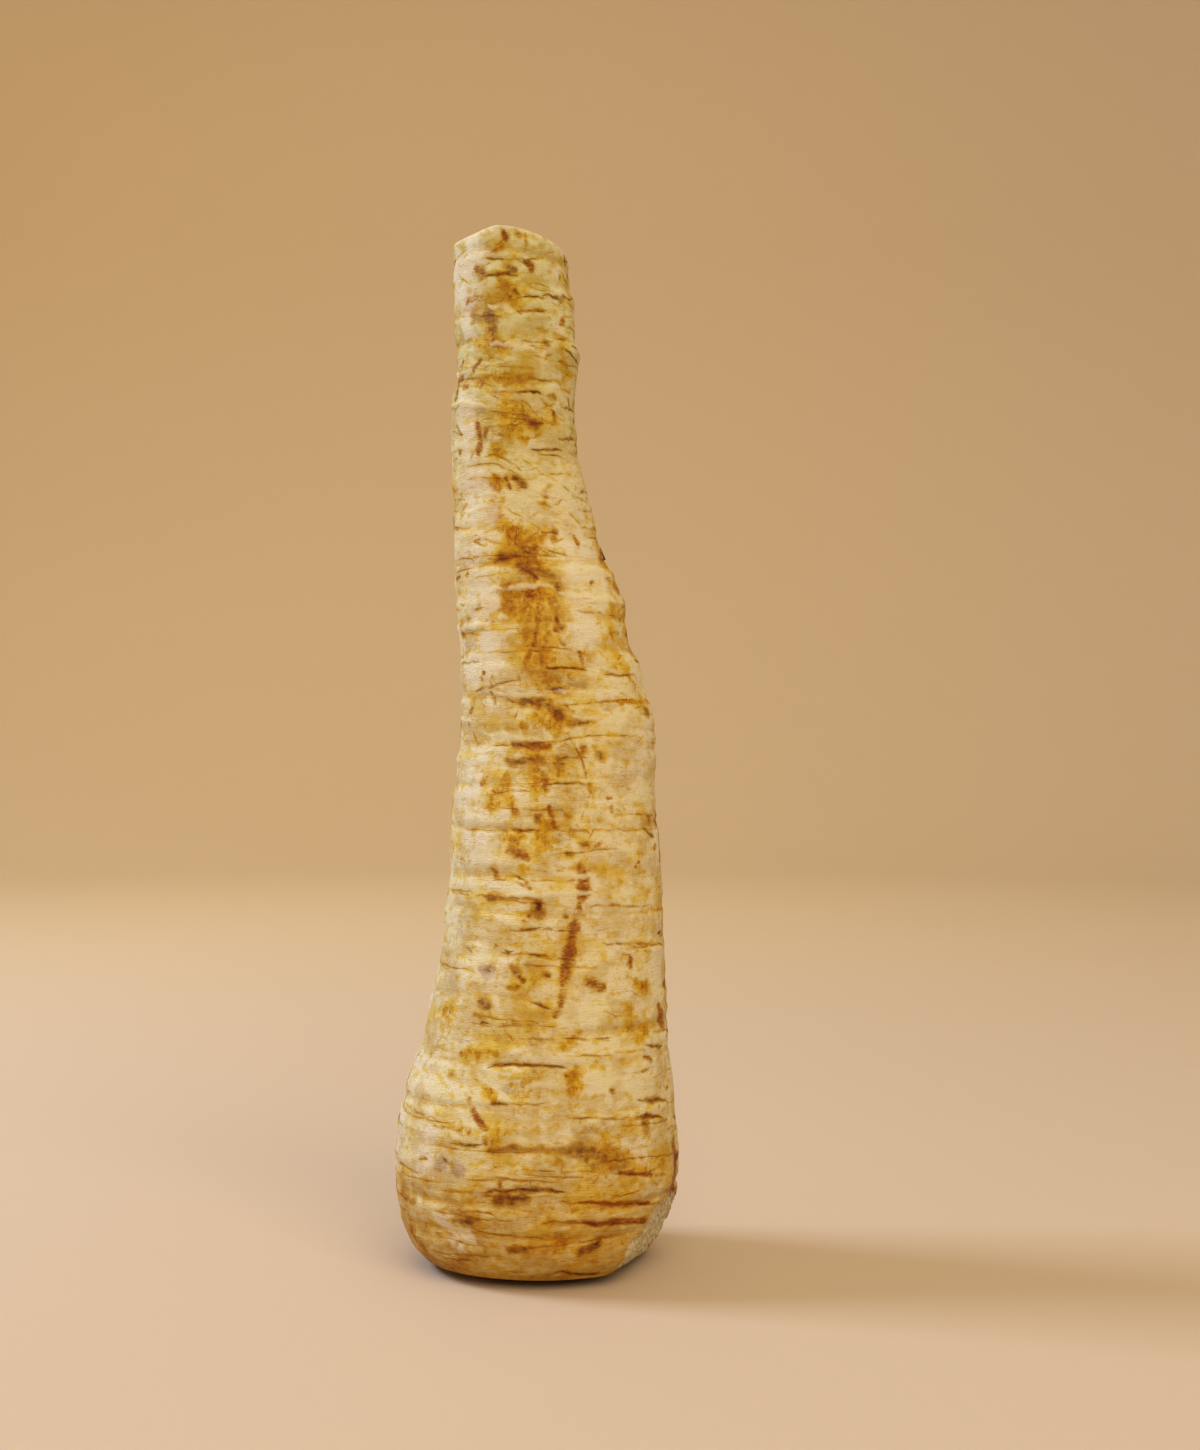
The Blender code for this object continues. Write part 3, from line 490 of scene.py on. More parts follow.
class Skin:
    """The root's skin: for each row and column its height, centre, turn and radius, in metres.

    The radius is the smoothed solid's, and the finished radius has the relief and the knife's flats too.
    """

    def __init__(self, tree):
        self.tree = tree
        self.turns = 2 * math.pi * np.arange(COLUMNS) / COLUMNS
        levels = np.linspace(FOOT_LEVEL * MM, CAD_BOX[1].z, ROWS + 1)
        centres = self.find_centres(levels)
        top_centre = [line[-1] for line in centres]
        rims = np.array([self.rim_height(top_centre, turn) for turn in self.turns])
        rims = blur(rims[None, :], 0, RIM_SMOOTH)[0]
        middle = rims.mean()
        self.levels = np.linspace(FOOT_LEVEL * MM, middle, ROWS + 1)
        self.step = self.levels[1] - self.levels[0]
        turned = smoothstep(middle - RIM_BLEND * MM, middle, self.levels)
        self.heights = self.levels[:, None] + turned[:, None] * (rims - middle)[None, :]
        self.centre_x, self.centre_y = (np.interp(self.heights, levels, line) for line in centres)
        self.radii = self.finished_radii = self.find_radii()

    def find_centres(self, levels):
        """The middle of each level's section, left to right and front to back, smoothed."""
        found = []
        for level in levels:
            height = min(level, levels[-1] - TOP_MARGIN * MM)
            sides = [look_in(self.tree, (0, 0), height, math.radians(a))[0] for a in (90, 270, 0, 180)]
            found.append(((sides[0].x + sides[1].x) / 2, (sides[2].y + sides[3].y) / 2))
        return [blur(np.array(line)[:, None], CENTRE_SMOOTH, 0)[:, 0] for line in zip(*found)]

    def rim_height(self, centre, turn):
        """How high the skin reaches at that turn, found by halving."""
        out = way_out(turn).xy
        low, high = (CAD_BOX[1].z + slack for slack in RIM_SLACK)
        for _ in range(RIM_HALVINGS):
            height = (low + high) / 2
            hit = look_in(self.tree, centre, height, turn)[0]
            if hit is not None and (hit.xy - Vector(centre)).dot(out) > LEAST_TAIL_RADIUS * MM:
                low = height
            else:
                high = height
        return low

    def find_radii(self):
        """The solid's radius everywhere, smoothed, with the knife's flats left out and filled in."""
        shape = self.heights.shape
        radii, known = np.zeros(shape), np.zeros(shape)
        flats = [normal for _, normal in TRIMS]
        for row in range(shape[0]):
            below = 1e-5 if row == ROWS else 0  # the rim itself is at the very edge
            for column, turn in enumerate(self.turns):
                centre = (self.centre_x[row, column], self.centre_y[row, column])
                height = self.heights[row, column] - below
                place, normal = look_in(self.tree, centre, height, turn)
                on_flat = height < TRIMS_END * MM and any(normal.dot(f) > ON_FLAT for f in flats)
                if not on_flat:
                    radii[row, column] = (place.xy - Vector(centre)).length
                    known[row, column] = 1
        tall = SMOOTH_UP * MM / self.step
        wide = math.radians(SMOOTH_ROUND) / (2 * math.pi / COLUMNS)
        weight = blur(known, tall, wide)
        near = blur(radii * known, tall, wide) / np.maximum(weight, 1e-6)
        wide_weight = blur(known, FILL_TALL, FILL_WIDE)
        around = blur(radii * known, FILL_TALL, FILL_WIDE) / np.maximum(wide_weight, 1e-6)
        return np.where(weight > 0.02, near, around)

    def flat_radii(self):
        """How far out each flat of the knife lies, along every row and column."""
        reach = np.full(self.heights.shape, np.inf)
        out = np.stack([np.sin(self.turns), -np.cos(self.turns)])
        for point, normal in TRIMS:
            facing = normal.x * out[0] + normal.y * out[1]
            gap = (
                (point.x * MM - self.centre_x) * normal.x
                + (point.y * MM - self.centre_y) * normal.y
                + (point.z * MM - self.heights) * normal.z
            )
            away = np.where(facing > LEAST_FACING, gap / np.maximum(facing, LEAST_FACING), np.inf)
            reach = np.minimum(reach, np.where(self.heights < TRIMS_END * MM, away, np.inf))
        return reach

    def cell_at(self, height, turn):
        """The row and column nearest to a height and turn."""
        column = round(turn / (2 * math.pi) * COLUMNS) % COLUMNS
        row = min(np.searchsorted(self.heights[:, column], height), ROWS)
        return row, column


# Relief and strokes

def grain(rng, tall, wide, step):
    """Smooth noise of mean 0 and spread 1, with features about that tall and that wide, in mm."""
    cell_wide = 2 * math.pi * USUAL_RADIUS / COLUMNS
    rows = tall * MM / step / GRAIN_BLUR
    margin = math.ceil(3 * rows)
    noise = rng.standard_normal((ROWS + 1 + 2 * margin, COLUMNS))
    noise = blur(noise, rows, wide / cell_wide / GRAIN_BLUR)[margin:-margin]
    return (noise - noise.mean()) / noise.std()


class Strokes:
    """Fields of strokes by kind: 1 along a stroke's middle, and half that a half width from it.

    Round thin strokes, "near" holds how strong the nearest one is, and "across" how many of its half
    widths its middle is away, which is below zero on one side. The skin's material draws them from these.
    """

    def __init__(self, skin, rng):
        self.skin = skin
        self.rng = rng
        self.fields = {kind: np.zeros(skin.heights.shape) for kind in KINDS}
        self.near = {kind: np.zeros(skin.heights.shape) for kind in THIN}
        self.across = {kind: np.zeros(skin.heights.shape) for kind in THIN}

    def seen(self, across, up):
        """The height and turn of the point that the camera sees there, or None past the edge."""
        aim = Vector((across, 0, up)) * MM
        way = (aim - CAMERA_PLACE).normalized()
        hit = self.skin.tree.ray_cast(CAMERA_PLACE, way)[0]
        if hit is None:
            return None
        row = np.abs(self.skin.levels - hit.z).argmin()
        x, y = self.skin.centre_x[row].mean(), self.skin.centre_y[row].mean()
        return hit.z, math.atan2(hit.x - x, y - hit.y)

    def from_front(self, kind, half_width, strength, points):
        """A stroke whose path is given as the camera sees it."""
        seen = []
        for (x0, z0), (x1, z1) in zip(points, points[1:]):
            pieces = max(1, round(math.hypot(x1 - x0, z1 - z0)))
            seen += [(x0 + (x1 - x0) * i / pieces, z0 + (z1 - z0) * i / pieces) for i in range(pieces)]
        places = [self.seen(x, z) for x, z in seen + [points[-1]]]
        self.paint(kind, half_width, strength, [p for p in places if p])

    def scatter(self, kind, count, half_widths, lengths, slopes, heights, front_share):
        """Strokes at random places, fewer where the front has its own."""
        rng = self.rng
        for _ in range(count):
            height = rng.uniform(*heights) * MM
            turn = rng.uniform(-math.pi, math.pi)
            half_width, half_length = rng.uniform(*half_widths), rng.uniform(*lengths) / 2 * MM
            slope, strength = math.radians(rng.uniform(*slopes)), rng.uniform(*STRENGTHS)
            chance = rng.uniform()
            if abs(turn) < FRONT_TURN and chance > front_share:
                continue
            row, column = self.skin.cell_at(height, turn)
            rise, run = half_length * math.sin(slope), half_length * math.cos(slope)
            sweep = run / self.skin.radii[row, column]
            ends = [(height - rise, turn - sweep), (height + rise, turn + sweep)]
            self.paint(kind, half_width, strength, ends)

    def paint(self, kind, half_width, strength, places):
        """Adds a stroke through places on the skin, given as heights and turns."""
        if len(places) == 1:
            places = places * 2
        if not places:
            return
        heights, turns = np.array(places).T
        turns = np.unwrap(turns)
        radius = self.skin.radii[self.skin.cell_at(heights.mean(), turns.mean())]
        run = np.concatenate([[0], np.cumsum(np.hypot(np.diff(heights), radius * np.diff(turns)))])
        count = max(2, math.ceil(run[-1] / (DAB_GAP * MM)))
        along = np.linspace(0, 1, count)
        heights = np.interp(along * run[-1], run, heights)
        turns = np.interp(along * run[-1], run, turns)
        knots = 3 + int(run[-1] / (BLOT * MM))
        changes = self.rng.uniform(-1, 1, (3, knots))
        stray, swell, fade = (np.interp(along * (knots - 1), np.arange(knots), line) for line in changes)
        heights = heights + (STRAY + STRAY_SHARE * half_width) * MM * stray
        thinning = KINDS[kind][1]
        taper = 1 - thinning + thinning * np.sin(np.pi * along) ** 0.6
        widths = half_width * taper * (1 + SWELL * swell) * MM
        slopes = np.arctan2(np.gradient(heights), radius * np.gradient(turns))
        for height, turn, width, slope, share in zip(heights, turns, widths, slopes, 1 + FADE * fade):
            self.dab(kind, height, turn, width, slope, strength * share)

    def dab(self, kind, height, turn, thin_width, slope, strength):
        """Raises the kind's field to a round soft spot's value wherever it is lower."""
        skin, field = self.skin, self.fields[kind]
        width = max(thin_width, NARROWEST * MM)
        reach = DAB_REACH * max(width, THIN_REACH * MM if kind in THIN else 0)
        row, column = skin.cell_at(height, turn)
        radius = skin.radii[row, column]
        rows_reach = math.ceil(reach / skin.step) + 2
        columns_reach = math.ceil(reach / (radius * 2 * math.pi / COLUMNS)) + 1
        rows = np.arange(max(0, row - rows_reach), min(ROWS + 1, row + rows_reach + 1))
        columns = np.arange(column - columns_reach, column + columns_reach + 1) % COLUMNS
        window = np.ix_(rows, columns)
        aside = radius * ((skin.turns[columns] - turn + math.pi) % (2 * math.pi) - math.pi)[None, :]
        above = skin.heights[window] - height
        distance = np.hypot(above, aside)
        field[window] = np.maximum(field[window], strength * np.exp2(-(distance / width) ** 2))
        if kind in THIN:
            near = strength * np.exp2(-(distance / (THIN_REACH * MM)) ** 2)
            across = (above * math.cos(slope) - aside * math.sin(slope)) / thin_width
            nearest = near > self.near[kind][window]
            across = np.where(nearest, np.clip(across, -THIN_LIMIT, THIN_LIMIT), self.across[kind][window])
            self.across[kind][window] = across
            self.near[kind][window] = np.where(nearest, near, self.near[kind][window])


def relief(skin, strokes, rng):
    """How far the skin stands out from the smoothed solid, in metres."""
    out = np.zeros(skin.heights.shape)
    for tall, wide, height in RELIEF:
        out += height * grain(rng, tall, wide, skin.step)
    for kind, (height, _) in KINDS.items():
        out += height * np.clip(strokes.fields[kind], 0, 1)
    cracks = strokes.fields["crack"]
    beside = smoothstep(0.1, 0.3, blur(cracks, LIP_TALL, LIP_WIDE)) * (1 - np.clip(2 * cracks, 0, 1))
    return (out + LIP * beside) * MM


def draw_strokes(skin):
    """All the strokes. The front's come last, so that a change to them moves none of the others."""
    strokes = Strokes(skin, np.random.default_rng(STROKE_SEED))
    for kind in SCATTERED:
        strokes.scatter(*kind)
    for stroke in FRONT_STROKES:
        strokes.from_front(*stroke)
    return strokes


def finish_radii(skin, strokes, rng):
    """Gives the skin its relief and the knife's flats, and returns from 0 to 1 how deep the knife went."""
    radii = skin.radii + relief(skin, strokes, rng)
    flat = skin.flat_radii()
    for tall, wide, height in TRIM_RELIEF:
        flat = flat + height * MM * (1 - np.abs(grain(rng, tall, wide, skin.step)))
    skin.finished_radii = np.minimum(radii, flat)
    return np.clip((radii - flat) / (TRIM_DEPTH * MM), 0, 1)


# The mesh

def fine_cylinder():
    """A cylinder of radius 1 and height 1, cut into rows, with rings that close its ends."""
    bpy.ops.object.select_all(action="DESELECT")
    bpy.ops.mesh.primitive_cylinder_add(
        vertices=COLUMNS, radius=1, depth=1, location=(0, 0, 0.5), end_fill_type="NGON"
    )
    body = bpy.context.object
    bpy.ops.object.transform_apply(location=True)
    bpy.ops.object.mode_set(mode="EDIT")
    for cuts in (SECTIONS - 1, ROWS // SECTIONS - 1):
        select(body, "EDGE", is_upright)
        bpy.ops.mesh.subdivide(number_cuts=cuts)
    for level in (0, 1):
        select(body, "FACE", lambda f: len(f.verts) == COLUMNS and abs(f.verts[0].co.z - level) < 1e-4)
        for _ in range(CAP_RINGS):
            bpy.ops.mesh.inset(thickness=1 / (CAP_RINGS + 1))
        bpy.ops.mesh.poke()
    bpy.ops.object.mode_set(mode="OBJECT")
    return body


def select(obj, kind, wanted):
    """Selects those of the mesh's edges or faces that are wanted, and nothing else."""
    bpy.ops.mesh.select_mode(type=kind)
    bpy.ops.mesh.select_all(action="DESELECT")
    bm = bmesh.from_edit_mesh(obj.data)
    for part in bm.edges if kind == "EDGE" else bm.faces:
        if wanted(part):
            part.select_set(True)
    bmesh.update_edit_mesh(obj.data)


def is_upright(edge):
    return abs(edge.verts[0].co.z - edge.verts[1].co.z) > 1e-5


def foot_heights(points, share):
    """The cut crown: flat where it stands, and rising to its rim."""
    return points[:, 2] * np.interp(share, FOOT_SHARES, FOOT_RISES)


def tail_heights(points, share):
    """The tail's cut: the plane through its rim, a little dished, and meeting the rim's own unevenness."""
    heights, ring = points[:, 2], share == 1
    terms = np.column_stack([points[:, :2], np.ones(len(points))])
    plane = terms @ np.linalg.lstsq(terms[ring], heights[ring], rcond=None)[0]
    aside = points[:, :2] - points[ring, :2].mean(0)
    turns = np.arctan2(aside[:, 1], aside[:, 0])
    uneven = np.interp(turns, turns[ring], (heights - plane)[ring], period=2 * math.pi)
    return plane + uneven * share ** 4 - TAIL_DISH * MM * (1 - share ** 4)


def wrap_cylinder(mesh, skin):
    """Wraps the cylinder on to the finished skin, and its ends over the cuts.

    Returns for each point its place, its row and column, and what share of the way out to the skin it is.
    """
    points = np.empty(len(mesh.vertices) * 3, np.float32)
    mesh.vertices.foreach_get("co", points)
    x, y, z = points.reshape(-1, 3).T.astype(float)
    share = np.hypot(x, y)
    share = np.where(share > 1 - 0.2 / CAP_RINGS, 1.0, share)
    columns = np.round(np.arctan2(x, -y) / (2 * math.pi) * COLUMNS).astype(int) % COLUMNS
    rows = np.round(z * ROWS).astype(int)

    cells = (rows, columns)
    turns = skin.turns[columns]
    x = skin.centre_x[cells] + skin.finished_radii[cells] * np.sin(turns)
    y = skin.centre_y[cells] - skin.finished_radii[cells] * np.cos(turns)
    points = np.stack([x, y, skin.heights[cells]], 1)
    for row, find_heights in ((0, foot_heights), (ROWS, tail_heights)):
        end = rows == row
        cap, cap_share = points[end], share[end]
        middle = cap[cap_share == 1, :2].mean(0)
        cap[:, :2] = middle + cap_share[:, None] * (cap[:, :2] - middle)
        cap[:, 2] = find_heights(cap, cap_share)
        points[end] = cap
    mesh.vertices.foreach_set("co", points.astype(np.float32).ravel())
    return points, cells, share


def growth_places(skin, points, cells, share, rng):
    """Where each point reads its patterns: they wander on the skin, and run outwards on the cuts."""
    growth = points.copy()
    growth[:, 2] += GROWTH_WAVE * MM * grain(rng, GROWTH_SPAN, GROWTH_SPAN, skin.step)[cells]
    turns = skin.turns[cells[1]]
    fibres = np.stack([RAY_SPREAD * np.sin(turns), RAY_SPREAD * np.cos(turns), share * RING_SPREAD], 1)
    growth[share < 1] = fibres[share < 1]
    return growth


def skin_fields(skin, strokes, trimmed):
    """What the skin's material reads by name: the strokes, the knife's flats and the hollows."""
    fields = {**strokes.fields, "trimmed": trimmed}
    for kind in THIN:
        fields[kind + "_near"], fields[kind + "_across"] = strokes.near[kind], strokes.across[kind]
    for name, (tall, wide, depth) in HOLLOWS.items():
        below = blur(skin.finished_radii, tall, wide) - skin.finished_radii
        fields[name] = np.clip(below / (depth * MM), -1, 1)
    return fields


def build_body(skin):
    """The root's fine mesh, with its attributes and materials."""
    strokes = draw_strokes(skin)
    rng = np.random.default_rng(RELIEF_SEED)
    trimmed = finish_radii(skin, strokes, rng)
    body = fine_cylinder()
    body.name = body.data.name = "root_body"
    mesh = body.data
    points, cells, share = wrap_cylinder(mesh, skin)
    caps = share < 1
    height = points[:, 2]
    from_top = skin.heights[ROWS][cells[1]] - height

    add_attribute(mesh, "growth", growth_places(skin, points, cells, share, rng))
    for name, field in skin_fields(skin, strokes, trimmed).items():
        add_attribute(mesh, name, np.where(caps, 0, field[cells]))
    add_attribute(mesh, "crown", 1 - smoothstep(0, CROWN_STAIN_AND_SHADE, height / MM))
    add_attribute(mesh, "tail", smoothstep(*TAIL_TINT, height / MM))
    add_attribute(mesh, "rim", np.exp2(-from_top / MM / RIM_CUT))
    add_attribute(mesh, "from_rim", (1 - share) * skin.finished_radii[cells] / MM)
    mesh.shade_smooth()
    mesh.materials.append(skin_material())
    mesh.materials.append(flesh_material())
    for face in mesh.polygons:
        face.material_index = int(caps[list(face.vertices)].any())
    return body


def add_attribute(mesh, name, values):
    kind = "FLOAT_VECTOR" if values.ndim == 2 else "FLOAT"
    layer = mesh.attributes.new(name, kind, "POINT")
    layer.data.foreach_set("vector" if values.ndim == 2 else "value", values.astype(np.float32).ravel())


def build_stubs(skin):
    """The dry stubs of rootlets, sunk in the skin and lying up along it."""
    stubs = []
    for height, side, length, radius, lean in STUBS:
        turn = math.radians(side)
        cell = skin.cell_at(height * MM, turn)
        centre = Vector((skin.centre_x[cell], skin.centre_y[cell], height * MM))
        foot = centre + way_out(turn) * skin.finished_radii[cell]
        bpy.ops.object.select_all(action="DESELECT")
        bpy.ops.mesh.primitive_cone_add(
            vertices=STUB_SIDES, radius1=radius * MM, radius2=radius * MM * STUB_TAPER, depth=length * MM
        )
        stub = bpy.context.object
        bpy.ops.object.mode_set(mode="EDIT")
        select(stub, "EDGE", is_upright)
        bpy.ops.mesh.subdivide(number_cuts=STUB_CUTS)
        bpy.ops.mesh.select_all(action="SELECT")
        bpy.ops.transform.vertex_random(offset=radius * MM * STUB_KNOBS, seed=round(height))
        bpy.ops.object.mode_set(mode="OBJECT")
        lean = math.radians(lean)
        way = way_out(turn) * math.sin(lean) + Vector((0, 0, math.cos(lean)))
        stub.rotation_euler = way.to_track_quat("Z", "Y").to_euler()
        stub.location = foot + (way * length / 2 - way_out(turn) * STUB_SUNK) * MM
        stubs.append(stub)
    bpy.ops.object.select_all(action="DESELECT")
    for stub in stubs:
        stub.select_set(True)
    bpy.context.view_layer.objects.active = stubs[0]
    bpy.ops.object.join()
    joined = bpy.context.object
    bpy.ops.object.transform_apply(location=True, rotation=True, scale=True)
    joined.name = joined.data.name = "rootlet_stubs"
    joined.data.shade_smooth()
    joined.data.materials.append(stub_material())
    return joined


# Materials

def add_node(tree, kind, inputs=(), **settings):
    """A node with its settings, whose inputs are sockets to join or values to set."""
    node = tree.nodes.new(kind)
    for name, value in settings.items():
        setattr(node, name, value)
    fill_inputs(tree, node, dict(inputs))
    return node


def fill_inputs(tree, node, inputs):
    for socket, value in inputs.items():
        if isinstance(value, bpy.types.NodeSocket):
            tree.links.new(value, node.inputs[socket])
        else:
            node.inputs[socket].default_value = value


def add_maths(tree, operation, *values):
    """The outcome of one operation on sockets or values."""
    return add_node(tree, "ShaderNodeMath", enumerate(values), operation=operation).outputs[0]


def new_group(name, inputs):
    """An empty node group with a Place, the named values, and a Mask."""
    group = bpy.data.node_groups.new(name, "ShaderNodeTree")
    group.interface.new_socket(name="Place", in_out="INPUT", socket_type="NodeSocketVector")
    for socket_name, value in inputs.items():
        socket = group.interface.new_socket(
            name=socket_name, in_out="INPUT", socket_type="NodeSocketFloat"
        )
        socket.default_value = value
    group.interface.new_socket(name="Mask", in_out="OUTPUT", socket_type="NodeSocketFloat")
    return group, group.nodes.new("NodeGroupInput").outputs, group.nodes.new("NodeGroupOutput").inputs


def stretched_noise(group, start, detail, roughness):
    """Noise at the group's Place, Size, Flatness and Seed, less its mean."""
    stretch = add_node(group, "ShaderNodeCombineXYZ", {"X": 1.0, "Y": 1.0, "Z": start["Flatness"]})
    place = add_node(
        group, "ShaderNodeVectorMath", {0: start["Place"], 1: stretch.outputs[0]}, operation="MULTIPLY"
    )
    noise = add_node(
        group, "ShaderNodeTexNoise",
        {"Vector": place.outputs[0], "W": start["Seed"], "Scale": start["Size"], "Detail": detail,
         "Roughness": roughness},
        noise_dimensions="4D",
    )
    return add_maths(group, "SUBTRACT", noise.outputs[0], 0.5)


def ragged_mask_group():
    """A mark made ragged: noise breaks its strength up and shifts it, and it is then cut off softly."""
    group, start, end = new_group("ragged_mask", {
        "Mark": 0.0, "Size": 300.0, "Flatness": 1.0, "Seed": 0.0, "Raggedness": 1.0, "Breaking": 0.0,
        "Low": 0.4, "High": 0.6,
    })
    noise = stretched_noise(group, start, 5.0, 0.57)
    broken = add_maths(group, "MULTIPLY_ADD", noise, start["Breaking"], 1.0)
    mark = add_maths(group, "MULTIPLY", broken, start["Mark"])
    shifted = add_maths(group, "MULTIPLY_ADD", noise, start["Raggedness"], mark)
    mask = add_node(
        group, "ShaderNodeMapRange",
        {"Value": shifted, "From Min": start["Low"], "From Max": start["High"]},
        interpolation_type="SMOOTHSTEP",
    )
    group.links.new(mask.outputs["Result"], end["Mask"])


def hair_lines_group():
    """Thin wandering lines, where stretched noise crosses its mean."""
    group, start, end = new_group("hair_lines", {
        "Size": 100.0, "Flatness": 8.0, "Seed": 0.0, "Thickness": 0.02,
    })
    noise = stretched_noise(group, start, 2.0, 0.5)
    away = add_maths(group, "ABSOLUTE", noise)
    mask = add_node(
        group, "ShaderNodeMapRange",
        {"Value": away, "From Min": start["Thickness"], "From Max": 0.0},
        interpolation_type="SMOOTHSTEP",
    )
    group.links.new(mask.outputs["Result"], end["Mask"])


class Painter:
    """Lays colours over one another in a material, each through a mask.

    Its patterns follow the root's growth, or else the piece's own coordinates.
    """

    def __init__(self, name, base, roughness, grown=True):
        self.material = bpy.data.materials.new(name)
        self.material.use_nodes = True
        self.tree = self.material.node_tree
        self.shader = self.tree.nodes["Principled BSDF"]
        self.shader.inputs["Roughness"].default_value = roughness
        self.colour = base
        self.attributes = {}
        if grown:
            self.place = self.attribute("growth", "Vector")
        else:
            self.place = add_node(self.tree, "ShaderNodeTexCoord").outputs["Object"]

    def attribute(self, name, output="Fac"):
        """An attribute's output. Its node is made once."""
        if name not in self.attributes:
            self.attributes[name] = add_node(self.tree, "ShaderNodeAttribute", attribute_name=name)
        return self.attributes[name].outputs[output]

    def maths(self, operation, *values):
        return add_maths(self.tree, operation, *values)

    def ragged(self, mark, size, seed, low, high, flatness=1.0, raggedness=0.0, breaking=0.0):
        """A mask from a mark, broken up by noise with features of that size in mm.

        The mark is a socket, a value, or the name of an attribute.
        """
        if isinstance(mark, str):
            mark = self.attribute(mark)
        node = add_node(self.tree, "ShaderNodeGroup", node_tree=bpy.data.node_groups["ragged_mask"])
        fill_inputs(self.tree, node, {
            "Place": self.place, "Mark": mark, "Size": 1 / (size * MM), "Flatness": flatness, "Seed": seed,
            "Raggedness": raggedness, "Breaking": breaking, "Low": low, "High": high,
        })
        return node.outputs["Mask"]

    def thin(self, kind, widths=1.0):
        """A thin kind's mark: its strength along its middle, and nothing that many half widths away."""
        away = self.maths("ABSOLUTE", self.attribute(kind + "_across"))
        share = self.maths("MULTIPLY_ADD", away, -1 / widths, 1.0)
        return self.maths("MULTIPLY", share, self.attribute(kind + "_near"))

    def hair_lines(self, size, flatness, seed, thickness):
        """A mask of thin lines, with bends of that size in mm."""
        node = add_node(self.tree, "ShaderNodeGroup", node_tree=bpy.data.node_groups["hair_lines"])
        fill_inputs(self.tree, node, {
            "Place": self.place, "Size": 1 / (size * MM), "Flatness": flatness, "Seed": seed,
            "Thickness": thickness,
        })
        return node.outputs["Mask"]

    def lay(self, colour, mask, share=1.0, blend="MIX"):
        """Lays a colour over what is there, where the mask is."""
        if share != 1.0:
            mask = self.maths("MULTIPLY", mask, share)
        under = self.colour if isinstance(self.colour, bpy.types.NodeSocket) else (*self.colour, 1.0)
        mix = add_node(
            self.tree, "ShaderNodeMix", {MIX_SHARE: mask, MIX_UNDER: under, MIX_OVER: (*colour, 1.0)},
            data_type="RGBA", blend_type=blend,
        )
        self.colour = mix.outputs[MIX_RESULT]

    def stain(self, tint, mask, share=1.0):
        """Darkens what is there to its product with the tint, where the mask is."""
        self.lay(tint, mask, share, "MULTIPLY")

    def bump(self, height, depth):
        """A bump that many mm deep."""
        normal = add_node(
            self.tree, "ShaderNodeBump", {"Strength": 1.0, "Distance": depth * MM, "Height": height}
        )
        self.tree.links.new(normal.outputs[0], self.shader.inputs["Normal"])

    def finish(self):
        self.tree.links.new(self.colour, self.shader.inputs["Base Color"])
        return self.material


